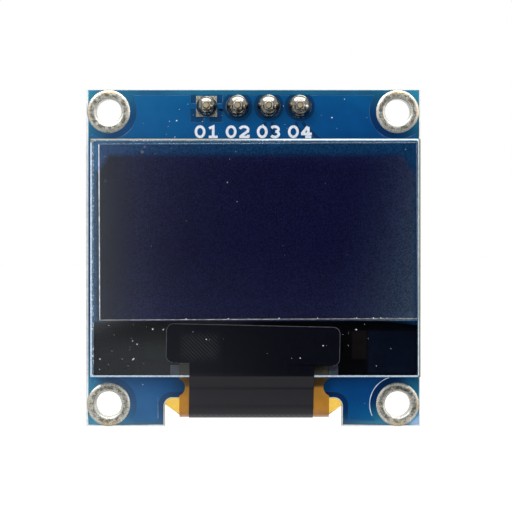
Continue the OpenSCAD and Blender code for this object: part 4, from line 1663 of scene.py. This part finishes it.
@dataclass
class DisplayStack:
    """Glass panel: bevelled front glass, polarizer, emitting layer, seal and rear glass."""

    glass: Box
    film: Box
    cap: Box
    pixels: Box
    bevel: float = 0.14
    chips: float = 0.15
    gap: float = 0.006
    film_turn: float = 0.3
    seal_w: float = 0.85

    def inset(
        self, left: float = 0.0, right: float = 0.0, bottom: float = 0.0, top: float = 0.0
    ) -> np.ndarray:
        """Outline of the front glass, moved inwards on each side."""
        x, y = self.glass.x + (left - right) / 2, self.glass.y + (bottom - top) / 2
        return rectangle(x, y, self.glass.width - left - right, self.glass.height - bottom - top, 0.05)

    def front_glass(self) -> None:
        """Clear glass with a ground bevel round its front and a chipped band inside that."""
        low, high, b = self.glass.rear + self.gap, self.glass.front - self.gap, self.bevel
        full, ground = self.inset(), self.inset(b, b * 0.9, b, b * 0.9)
        chipped = self.inset(b + self.chips, b * 0.9 + 0.09, b + 0.01, b * 0.9 + 0.08)
        shell = loft([(full, low), (full, high - 0.8 * b), (ground, high - 0.004), (chipped, high)])
        count = len(full)
        shell.tags = np.repeat((0, 1, 2, 0), (count, count, count, 2)).tolist()
        finishes = (Palette.GLASS, Palette.GROUND, Palette.CHIPPED)
        make_piece("front_glass", shell, Slot.GLASS, *finishes, stands_for=("display_glass",), smooth=20)

    def polarizer(self) -> None:
        """The polarizer film, and painted highlight lines along its cut edges."""
        sine = math.sin(math.radians(self.film_turn))
        w, h = self.film.width - self.film.height * sine, self.film.height - self.film.width * sine
        low, high = self.film.rear + self.gap, self.film.front - self.gap
        full, small = rectangle(0, 0, w, h, 0.05), rectangle(0, 0, w - 0.03, h - 0.03, 0.04)
        place = {"x": self.film.x, "y": self.film.y, "turn": self.film_turn}
        shell = loft([(full, low), (full, high - 0.015), (small, high)]).moved(**place)
        make_piece("polarizer_film", shell, Slot.POLARIZER, Palette.FILM, stands_for=("polarizer",))
        # painted highlights: bright down the left side, grey along the bottom, blue-grey on the right and
        # the top
        loop = rectangle(0, 0, w - 0.06, h - 0.06)
        sides = ((3, 0, 0.075, 0), (0, 1, 0.06, 2), (1, 2, 0.045, 1), (2, 3, 0.05, 1))
        lines = [track(loop[[a, b]], wide, low, self.film.front, 0.01, tag) for a, b, wide, tag in sides]
        finishes = (Palette.FILM_EDGE, Palette.FILM_RIM, Palette.FILM_LOW)
        make_piece("film_edges", Shell.joined(lines).moved(**place), Slot.POLARIZER, *finishes)

    def cell(self, inset: float, r: float = 0.0) -> np.ndarray:
        """Outline of the rear glass, moved inwards."""
        return rectangle(self.cap.x, self.cap.y, self.cap.width - 2 * inset, self.cap.height - 2 * inset, r)

    def emitting_layer(self) -> None:
        """Dark layer on the rear of the front glass, out to the seal round it."""
        shell = plate([self.cell(self.seal_w - 0.004)], self.pixels.rear, self.pixels.front - 0.004)
        finish, node = Palette.PIXELS, "pixel_layer"
        make_piece("emitting_layer", shell, Slot.PIXELS, finish, stands_for=(node,), smooth=0)

    def rear_glass(self) -> None:
        """The seal between the glasses and the rear glass."""
        front = self.cap.front
        seal = plate([self.cell(0.0), self.cell(self.seal_w)], front + 0.004, front + 0.046)
        make_piece("glass_seal", seal, Slot.SEAL, Palette.PIXELS, stands_for=("cell_seal",), smooth=0)
        full = self.cell(0.0, 0.04)
        shell = loft([(full, self.cap.rear + self.gap), (full, front - self.gap)])
        make_piece("rear_glass", shell, Slot.REAR_GLASS, Palette.CAP, stands_for=("cap_glass",), smooth=20)

    def dress(self, nodes: dict[str, bpy.types.Object]) -> None:
        """Makes the panel and gives the plain CAD pieces behind it their finishes.

        Args:
            nodes: the CAD nodes by name.
        """
        self.front_glass()
        self.polarizer()
        self.emitting_layer()
        self.rear_glass()
        repaint(nodes, drying_sheet=Palette.DRYING, mounting_tape=Palette.FOAM, ledge_foam=Palette.LEDGE)
        repaint(nodes, driver_chip=Palette.DIE, bond_bead=Palette.GLUE, bond_film=Palette.BOND)


# ---------------------------------------------------------------- cable and tape


@dataclass(frozen=True)
class Fold:
    """The flex cable's half turn round the board's notch: its middle and its outer radius."""

    y: float
    z: float
    r: float

    @classmethod
    def of(cls, cable: Box) -> "Fold":
        """Reads the fold from the CAD cable."""
        return cls(cable.bottom + cable.depth / 2, cable.z, cable.depth / 2)

    def path(
        self, ahead: np.ndarray, off: float, end_y: float, count: int = 40
    ) -> tuple[np.ndarray, np.ndarray]:
        """Path of a sheet that runs down the front, round the fold and up the rear.

        Args:
            ahead: places (y, z) down the front, up to the fold.
            off: how far the path lies outside the cable's outer face.
            end_y: where it ends on the rear.
            count: points round the fold.

        Returns:
            Places (y, z) of the path, and the outward direction at each.
        """
        turn = np.radians(np.linspace(90, 270, count))
        fold = np.column_stack((np.cos(turn), np.sin(turn))) * (self.r + off) + (self.y, self.z)
        up = np.linspace(self.y, end_y, max(3, int((end_y - self.y) / 0.12)))[1:]
        rear = np.column_stack((up, np.full(len(up), self.z - self.r - off)))
        points = np.vstack((ahead, fold, rear))
        step = np.gradient(points, axis=0)
        step /= np.linalg.norm(step, axis=1)[:, None]
        return points, np.column_stack((step[:, 1], -step[:, 0]))


@dataclass
class FlexCable:
    """Amber flex cable with its copper and its solder joints."""

    cable: Box
    joints: JointRow
    glass_bottom: float
    neck_w: float = 12.17
    sheet_t: float = 0.1
    cols: int = 21
    notch_depth: float = 0.47
    notch_h: float = 1.36
    notch_down: float = 0.87
    end_w: float = 18.6
    bond_reach: float = 1.1
    slope: float = 32.3
    shoulder_down: float = 0.983
    trace_pitch: float = 0.37
    trace_w: float = 0.17
    joint_w: float = 0.33
    joint_l: float = 1.95

    def __post_init__(self) -> None:
        """Works out the fold from the frame."""
        self.fold = Fold.of(self.cable)

    def neck(self, y: np.ndarray) -> np.ndarray:
        """Half width of the front run, with a round notch in each edge.

        Args:
            y: heights.

        Returns:
            The half width at each height.
        """
        d, h = self.notch_depth, self.notch_h
        r = (h * h / 4 + d * d) / (2 * d)
        off = y - (self.glass_bottom - self.notch_down)
        bite = np.sqrt(np.maximum(r * r - off * off, 0)) - (r - d)
        return self.neck_w / 2 - np.maximum(bite, 0)

    def shoulders(self, y: np.ndarray) -> np.ndarray:
        """Half width of the rear run, which widens at the shoulders."""
        grown = self.neck_w / 2 + (y - self.fold.y + self.shoulder_down) / math.tan(math.radians(self.slope))
        return np.clip(grown, self.neck_w / 2, self.end_w / 2)

    def sheet(self) -> None:
        """The film itself, amber over copper down to the middle of the fold and clear amber behind."""
        down = np.linspace(self.glass_bottom + self.bond_reach, self.fold.y, 60)[:-1]
        t = self.sheet_t / 2
        front = np.column_stack((down, np.full(len(down), self.fold.z + self.fold.r - t)))
        points, out = self.fold.path(front, -t, self.cable.top)
        halfway = len(down) + 20
        behind = np.arange(len(points)) > halfway
        half = np.where(behind, self.shoulders(points[:, 0]), self.neck(points[:, 0]))
        x = self.cable.x
        shell = strip(x - half, x + half, points + out * t, points - out * t, self.cols)
        shell.tags = [int(min(face) // (2 * self.cols) > halfway) for face in shell.faces]
        finishes = (Palette.FLEX_COPPER, Palette.FLEX)
        make_piece("flex_film", shell, Slot.FLEX, *finishes, stands_for=("flex_cable",))

    def copper(self) -> None:
        """Copper under the rear film: it fans out from the neck to the joints."""
        rear, start, end = self.cable.rear, self.fold.y + 0.1, self.joints.box.bottom + 0.3
        shells = []
        for i in range(self.joints.count):
            neck_x = self.cable.x + (i - (self.joints.count - 1) / 2) * self.trace_pitch
            joint_x = self.joints.x(i)
            path = [(neck_x, start), (neck_x, start + 0.9), (joint_x, end - 0.7), (joint_x, end)]
            shells.append(track(path, self.trace_w, rear + 0.03, rear - 0.006))
        make_piece("flex_copper", Shell.joined(shells), Slot.FLEX, Palette.TRACE)

    def solder(self) -> None:
        """A drawn pillow of solder on each joint."""
        rng = np.random.default_rng(5)
        shells = []
        for i in range(self.joints.count):
            length = self.joint_l + rng.uniform(-0.12, 0.12)
            x = self.joints.x(i) + rng.uniform(-0.015, 0.015)
            block = rounded_block(self.joint_w, length, 0.24, 0.115, 7)
            shells.append(block.moved(x, self.joints.box.top - 0.1 - length / 2, -0.17))
        shell = Shell.joined(shells)
        make_piece("joint_solder", shell, Slot.SOLDER, Palette.JOINT, stands_for=("flex_solder",), smooth=60)

    def dress(self, nodes: dict[str, bpy.types.Object]) -> None:
        """Makes the cable and its joints.

        Args:
            nodes: the CAD nodes by name.
        """
        self.sheet()
        self.copper()
        self.solder()
        repaint(nodes, joint_pads=Palette.TIN)


@dataclass
class ShieldTape:
    """Black tape: a broad head on the glass over a tail that follows the cable."""

    tape: Box
    cable: Box
    glass: Box
    head_l: float = 14.0
    head_up: float = 1.05
    head_drop: float = 0.073
    tail_w: float = 10.1
    tail_x: float = -0.05
    corner_r: float = 0.55
    turn: float = 1.3
    sheet_t: float = 0.05
    cols: int = 31
    edge_up: float = 0.14
    apron: float = 0.9
    rear_reach: float = 3.1
    rim_w: float = 0.05

    def __post_init__(self) -> None:
        """Works out the fold and the height of the head from the frame."""
        self.fold = Fold.of(self.cable)
        self.bottom = self.glass.bottom + self.head_up
        self.middle = (self.tape.top + self.bottom) / 2 - self.head_drop
        self.top = 2 * self.middle - self.bottom

    def head(self) -> np.ndarray:
        """Heights down the head, close together in its round corners."""
        ease = self.corner_r * (1 - np.cos(np.linspace(0, np.pi / 2, 9)))
        return np.concatenate((self.top - ease, [self.middle], self.bottom + ease[::-1]))

    def half_head(self, along: np.ndarray) -> np.ndarray:
        """Half width of the head, with round corners."""
        r, near = self.corner_r, np.minimum(self.top - along, along - self.bottom)
        return self.head_l / 2 - r + np.sqrt(np.maximum(r * r - (r - np.clip(near, 0, r)) ** 2, 0))

    def drape(self, along: np.ndarray) -> np.ndarray:
        """Levels of the tape's underside: on the glass, over its edge and down to the cable.

        Straight stretches join the places that hold the tape. Three times each
        level is set to the mean of itself and its neighbours, but never lower
        than those stretches.

        Args:
            along: heights down the tape.

        Returns:
            The level at each height.
        """
        glass, cable, edge = self.glass.front, self.cable.front, self.glass.bottom + self.edge_up
        held = [(self.fold.y, cable), (self.glass.bottom - self.apron, cable), (edge - 0.05, glass - 0.03)]
        held += [(edge + 0.1, glass), (self.top + 0.2, glass)]
        straight = np.interp(along, *np.array(held).T)
        level = straight.copy()
        for _ in range(3):
            mean = (level[:-2] + level[1:-1] + level[2:]) / 3
            level[1:-1] = np.maximum(mean, straight[1:-1])
        return level

    def rim(self, rows: np.ndarray) -> Shell:
        """A painted highlight along the head's cut edge, down both of its sides and over its top.

        Args:
            rows: points of the head by row, with the outer face's points first.

        Returns:
            A thin line.
        """
        last = self.cols - 1
        path = np.vstack((rows[::-1, 0], rows[0, 1:last], rows[:, last]))[:, :2]
        keep = np.linalg.norm(np.diff(path, axis=0, prepend=path[:1] - 1), axis=1) > 0.01
        return track(path[keep], self.rim_w, self.glass.front, self.glass.front + 0.056, 0.01)

    def dress(self) -> None:
        """Makes the tape.

        Its rows of points are laid out down the tape's own height, carried on
        to the glass, the cable and the fold, and sheared by the tape's slant.
        The head is slanted both ways, and the tail only sideways.
        """
        head, t = self.head(), self.sheet_t / 2
        tail = np.linspace(self.bottom - 0.05, self.fold.y, 60)
        along = np.concatenate((head, [self.bottom - 1e-4], tail))
        ahead = np.column_stack((along, self.drape(along) + t))[:-1]
        points, out = self.fold.path(ahead, t, self.fold.y + self.rear_reach, 48)
        on_head = np.arange(len(points)) < len(head)
        half = np.where(on_head, 0.0, self.tail_w / 2)
        half[: len(head)] = self.half_head(head)
        shift = np.where(on_head, 0.0, self.tail_x)
        shell = strip(shift - half, shift + half, points + out * t, points - out * t, self.cols)
        x, y, z = shell.points.T
        slant = math.tan(math.radians(self.turn))
        turned = (x + (y - self.middle) * slant, y - x * slant * (y >= self.bottom - 0.01), z)
        shell.points = np.column_stack(turned)
        make_piece("black_tape", shell, Slot.SHIELD, Palette.TAPE, stands_for=("shield_tape",))
        rows = shell.points.reshape(len(points), -1, 3)[: len(head)]
        make_piece("tape_edge_glint", self.rim(rows), Slot.SHIELD, Palette.TAPE_EDGE_GLINT)


# ---------------------------------------------------------------- small parts


@dataclass
class SmallParts:
    """Chip resistors, chip capacitors and the regulator on the rear face."""

    chips: dict[str, Box]
    case: Box
    end_l: float = 0.33
    step: float = 0.02
    taper: float = 0.035

    def chip(self, name: str, box: Box) -> None:
        """A coated body between two metal ends, in the place of its CAD node.

        Args:
            name: name of the CAD node.
            box: its extent.
        """
        length, width = max(box.width, box.height), min(box.width, box.height)
        inner, thin = width - 2 * self.step, box.depth - 2 * self.step
        body = rounded_block(length - 1.2 * self.end_l, inner, thin, 0.05, 8, 0)
        end = rounded_block(self.end_l, width, box.depth, 0.06, 8, 1)
        ends = [end.moved(x=side * (length - self.end_l) / 2) for side in (-1, 1)]
        shell = Shell.joined([body, *ends]).moved(box.x, box.y, box.z, 0 if box.width > box.height else 90)
        slot, finish = Slot.CAPACITOR, Palette.CAPACITOR
        if name.startswith("resistor_"):
            slot, finish = Slot.RESISTOR, Palette.RESISTOR
        make_piece(f"{name}_body", shell, slot, finish, Palette.JOINT, stands_for=(name,), smooth=50)

    def regulator(self) -> None:
        """The moulded body, with sloping sides and a round mark at its first leg."""
        box, half = self.case, self.case.depth / 2
        block = rounded_block(box.width, box.height, box.depth, 0.08, 14)
        block.points[:, :2] *= 1 - self.taper * np.abs(block.points[:, 2:]) / half
        spot = circle(-box.width / 2 + 0.45, -box.height / 2 + 0.4, 0.16, 24)
        mark = plate([spot], -half - 0.004, -half + 0.02, tag=1)
        shell = Shell.joined([block, mark]).moved(box.x, box.y, box.z)
        finishes = (Palette.MOULD, Palette.RESISTOR)
        make_piece("regulator_case", shell, Slot.MOULDING, *finishes, stands_for=("regulator_body",))

    def dress(self, nodes: dict[str, bpy.types.Object]) -> None:
        """Makes every small part and gives the CAD legs, pads and solder their finishes.

        Args:
            nodes: the CAD nodes by name.
        """
        for name, box in self.chips.items():
            self.chip(name, box)
        self.regulator()
        repaint(nodes, component_pads=Palette.TIN, component_solder=Palette.JOINT)
        repaint(nodes, regulator_legs=Palette.JOINT)


@dataclass
class LooseDustAndGlints:
    """Flakes of dust, bright flakes that paint glints, and a few dull smears on the glass, the film, the
    tape and the board.
    """

    glass: Box
    film: Box
    board: Box
    corners: int = 7

    def flake(self, rng: np.random.Generator, x: float, y: float, z: float, r: float, tag: int = 0) -> Shell:
        """A low uneven dome.

        Args:
            rng: where its corners' places are drawn from.
            x: middle.
            y: middle.
            z: level it lies on.
            r: mean radius, about.
            tag: finish number.

        Returns:
            The dome, open below.
        """
        n = self.corners
        angles = np.linspace(0, 2 * np.pi, n + 1)[:-1] + rng.uniform(0, 1)
        radii = r * rng.uniform(0.6, 1.15, n)
        rim = np.column_stack((x + radii * np.cos(angles), y + radii * np.sin(angles), np.full(n, z)))
        points = np.vstack((rim, [(x, y, z + min(0.012, r * 0.3))]))
        return Shell.of(points, [[i, (i + 1) % n, n] for i in range(n)], tag)

    def dress(self) -> None:
        """Scatters flakes over fields, then along the film's lower edge as painted glints, and adds the
        smears.

        Each field has its number of flakes, its left, right, lower and upper
        edge, and its level.
        """
        rng = np.random.default_rng(29)
        glass, film, board = self.glass, self.film, self.board
        low, high = glass.bottom + 0.3, film.bottom - 0.2
        fields = (
            (22, glass.left + 0.4, -7.2, low, high, glass.front),
            (8, 7.2, glass.right - 0.3, low, high, glass.front),
            (9, -6.6, 6.6, -8.2, -5.8, glass.front + 0.05),
            (14, film.left + 0.4, film.right - 0.4, film.bottom + 0.2, film.top, film.front),
            (34, -9.6, 9.6, 9.75, 13.0, board.front + 0.02),
            (5, -9.4, -8.0, -13.0, -9.9, board.front + 0.01),
            (6, 8.0, 9.4, -13.0, -9.9, board.front + 0.01),
        )
        shells = []
        for count, x0, x1, y0, y1, level in fields:
            for _ in range(count):
                r = 0.018 + 0.045 * rng.random() ** 3
                shells.append(self.flake(rng, rng.uniform(x0, x1), rng.uniform(y0, y1), level, r))
        # painted highlights: bright flakes along the film's lower edge stand for its glints
        for x in (-5.4, -2.0, -0.4, 2.1, 5.2, 8.2, 8.35, 9.7, 10.3, 10.8):
            y = film.bottom + 0.1 + (x - film.left) * 0.005
            shells.append(self.flake(rng, x, y, film.front, rng.uniform(0.03, 0.06)))
        for x, y, r in ((-8.95, 8.55, 0.17), (-8.75, 8.95, 0.12), (-7.9, 8.4, 0.07), (-11.9, 6.2, 0.08)):
            shells.append(self.flake(rng, x, y, film.front, r, 1))
        make_piece("dust_and_glint_flakes", Shell.joined(shells), Slot.GLASS, Palette.DUST_AND_GLINT, Palette.SMEAR, smooth=60)


# ---------------------------------------------------------------- studio


def stage_material(name: str) -> tuple[bpy.types.Material, Nodes]:
    """Starts an empty material for a thing of the stage.

    Args:
        name: name of the material.

    Returns:
        The material and its nodes.
    """
    material = bpy.data.materials.new(name)
    material.use_nodes = True
    material.node_tree.nodes.clear()
    return material, Nodes(material.node_tree)


def glow(nodes: Nodes, strength: Source, colour: Sequence[float] = (1.0, 1.0, 1.0, 1.0)) -> Value:
    """Adds an emission shader."""
    return nodes.give("ShaderNodeEmission", {"Color": colour, "Strength": strength})


@dataclass
class Studio:
    """Camera, pale floor, soft lamps, and dark flags that only reflections see.

    The camera's and the lamps' places are in millimetres, and the sheets of the
    stage and their materials count in metres.
    """

    board: Box
    distance: float = 150.0
    camera_x: float = 0.233
    camera_y: float = 0.155
    lens: float = 129.15
    sensor: float = 36.0
    ambient: float = 0.6
    floor_size: float = 2.0
    flag_half: float = 0.09
    flag_top: float = 0.07
    flag_near: float = -0.0045
    flag_far: float = -0.25
    flag_lift: float = 0.0002

    def camera(self) -> None:
        """A level camera straight in front of the board."""
        data = bpy.data.cameras.new("camera")
        data.lens = self.lens
        data.sensor_width = self.sensor
        data.clip_start = 0.01
        camera = bpy.data.objects.new("camera", data)
        camera.location = (self.camera_x * MM, -(self.board.front + self.distance) * MM, self.camera_y * MM)
        camera.rotation_euler = (math.pi / 2, 0, 0)
        bpy.context.scene.collection.objects.link(camera)
        bpy.context.scene.camera = camera

    def seen(self, nodes: Nodes) -> Value:
        """One where the camera, a reflection or a view through glass meets the background.

        Args:
            nodes: nodes of the background's material or of the world.

        Returns:
            One or zero for each ray.
        """
        path = nodes.add("ShaderNodeLightPath", {}).outputs
        mirrored = nodes.math("MAXIMUM", path["Is Camera Ray"], path["Is Glossy Ray"])
        return mirrored.greater(path["Is Transmission Ray"])

    def world(self) -> None:
        """White where it is seen, and a softer light on the module."""
        world = bpy.data.worlds.new("studio")
        world.use_nodes = True
        bpy.context.scene.world = world
        nodes = Nodes(world.node_tree)
        sky = world.node_tree.nodes["Background"]
        nodes.feed(sky.inputs["Color"], (1.0, 1.0, 1.0, 1.0))
        nodes.feed(sky.inputs["Strength"], self.seen(nodes).ramp(0.0, 1.0, self.ambient, 1.0))

    def sheet(
        self, name: str, corners: Sequence[tuple[float, float, float]], material: bpy.types.Material
    ) -> bpy.types.Object:
        """A flat sheet of the stage.

        Args:
            name: name of the sheet.
            corners: its four corners, in metres.
            material: its material.

        Returns:
            The object.
        """
        mesh = bpy.data.meshes.new(name)
        mesh.from_pydata(corners, [], [[0, 1, 2, 3]])
        mesh.materials.append(material)
        thing = bpy.data.objects.new(name, mesh)
        bpy.context.scene.collection.objects.link(thing)
        return thing

    def level(self, left: float, right: float, near: float, far: float, height: float) -> list[tuple]:
        """Corners of a sheet that lies level."""
        return [(left, far, height), (right, far, height), (right, near, height), (left, near, height)]

    def floor(self) -> None:
        """White floor that keeps a faint shadow."""
        material, nodes = stage_material("floor")
        matte = nodes.give("ShaderNodeBsdfDiffuse", {"Color": (0.2, 0.2, 0.2, 1.0)})
        shine = glow(nodes, self.seen(nodes).ramp(0.0, 1.0, 0.45, 0.92))
        both = nodes.give("ShaderNodeAddShader", {0: matte, 1: shine})
        nodes.add("ShaderNodeOutputMaterial", {"Surface": both})
        size = self.floor_size
        self.sheet("floor", self.level(-size, size, size, -size, self.board.bottom * MM), material)

    def flag_material(self, lying: bool) -> bpy.types.Material:
        """Dark flag that fades from the left, and where it lies turns into a step near the module.

        Args:
            lying: whether the flag lies on the floor.

        Returns:
            The material.
        """
        material, nodes = stage_material("flag")
        x, y, _ = nodes.axes(nodes.give("ShaderNodeTexCoord", {}, "Object"))
        fade = (-110.0 * (x + 0.0324)).math("EXPONENT")
        level = (fade * 0.56 + 0.008).math("MINIMUM", 1.0)
        if lying:
            step = x.ramp(-0.0104, 0.0046, 0.42, 0.014) * y.ramp(-0.07, -0.02, 1.0, 1.7)
            level = level + y.ramp(-0.2, -0.105) * (step - level)
        nodes.add("ShaderNodeOutputMaterial", {"Surface": glow(nodes, level, (0.93, 0.97, 1.0, 1.0))})
        return material

    def flags(self) -> list[bpy.types.Object]:
        """A dark sheet behind the camera and one on the floor.

        Returns:
            Both sheets.
        """
        half, top, far, low = self.flag_half, self.flag_top, self.flag_far, self.board.bottom * MM
        upright = [(-half, far, low), (half, far, low), (half, far, top), (-half, far, top)]
        lying = self.level(-half, half, self.flag_near, far, low + self.flag_lift)
        return [
            self.sheet("flag", upright, self.flag_material(False)),
            self.sheet("floor_flag", lying, self.flag_material(True)),
        ]

    def cards(self) -> list[bpy.types.Object]:
        """Bright cards over the top and to the right, which show as glints on metal and edges.

        Returns:
            Both cards.
        """
        over = [(-0.2, -0.22, 0.19), (0.2, -0.22, 0.19), (0.2, 0.06, 0.25), (-0.2, 0.06, 0.25)]
        beside = [(0.3, -0.12, -0.01), (0.3, 0.04, -0.01), (0.3, 0.04, 0.05), (0.3, -0.12, 0.05)]
        cards = []
        for name, strength, corners in (("top_card", 8.0, over), ("side_card", 5.0, beside)):
            material, nodes = stage_material(name)
            nodes.add("ShaderNodeOutputMaterial", {"Surface": glow(nodes, strength)})
            cards.append(self.sheet(name, corners, material))
        return cards

    def lamp(self, name: str, place: tuple[float, float, float], size: float, power: float) -> None:
        """A square softbox aimed at the module.

        Args:
            name: name of the lamp.
            place: where it hangs, in millimetres.
            size: its side, in millimetres.
            power: its power, in watts.
        """
        data = bpy.data.lights.new(name, "AREA")
        data.size = size * MM
        data.energy = power
        lamp = bpy.data.objects.new(name, data)
        lamp.location = [value * MM for value in place]
        lamp.rotation_euler = (-lamp.location).to_track_quat("-Z", "Y").to_euler()
        bpy.context.scene.collection.objects.link(lamp)

    def build(self) -> None:
        """Sets up the whole studio. Flags and cards show in reflections and through glass only."""
        bpy.context.scene.view_settings.view_transform = "Standard"
        self.camera()
        self.world()
        self.floor()
        for sheet in (*self.flags(), *self.cards()):
            for ray in ("camera", "diffuse", "shadow", "volume_scatter"):
                setattr(sheet, f"visible_{ray}", False)
        self.lamp("key", (-170, -230, 190), 130, 0.42)
        self.lamp("fill", (230, -200, 60), 160, 0.2)
        self.lamp("overhead", (10, -60, 260), 140, 0.3)
        self.lamp("rear", (60, 240, 160), 160, 0.35)


# ---------------------------------------------------------------- the module


def main() -> None:
    """Builds the module round the frame."""
    logging.basicConfig(level=logging.INFO, format="%(name)s: %(message)s")
    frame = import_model()
    nodes = frame["nodes"]
    board, cable, glass = Box.of("circuit_board"), Box.of("flex_cable"), Box.of("display_glass")
    film, tape = Box.of("polarizer"), Box.of("shield_tape")
    rings = [Box.of(f"mounting_ring_{i}") for i in range(1, 5)]
    pads = [Box.of(f"pin_pad_{i}") for i in range(1, 5)]
    chips = {name: Box.of(name) for name in sorted(nodes) if name.startswith(("resistor_", "capacitor_"))}
    outline = NotchedOutline.of(board, rings[1], pads[1])
    joints = JointRow(Box.of("joint_pads"))
    Studio(board).build()
    BoardDress(outline, rings, pads).dress()
    RearDress(outline, pads, list(chips.values()), joints).dress()
    Header(pads, Box.of("header_housing"), Box.of("header_pin_1").front).dress(nodes)
    DisplayStack(glass, film, Box.of("cap_glass"), Box.of("pixel_layer")).dress(nodes)
    FlexCable(cable, joints, glass.bottom).dress(nodes)
    ShieldTape(tape, cable, glass).dress()
    SmallParts(chips, Box.of("regulator_body")).dress(nodes)
    LooseDustAndGlints(glass, film, board).dress()


if __name__ == "__main__":
    main()
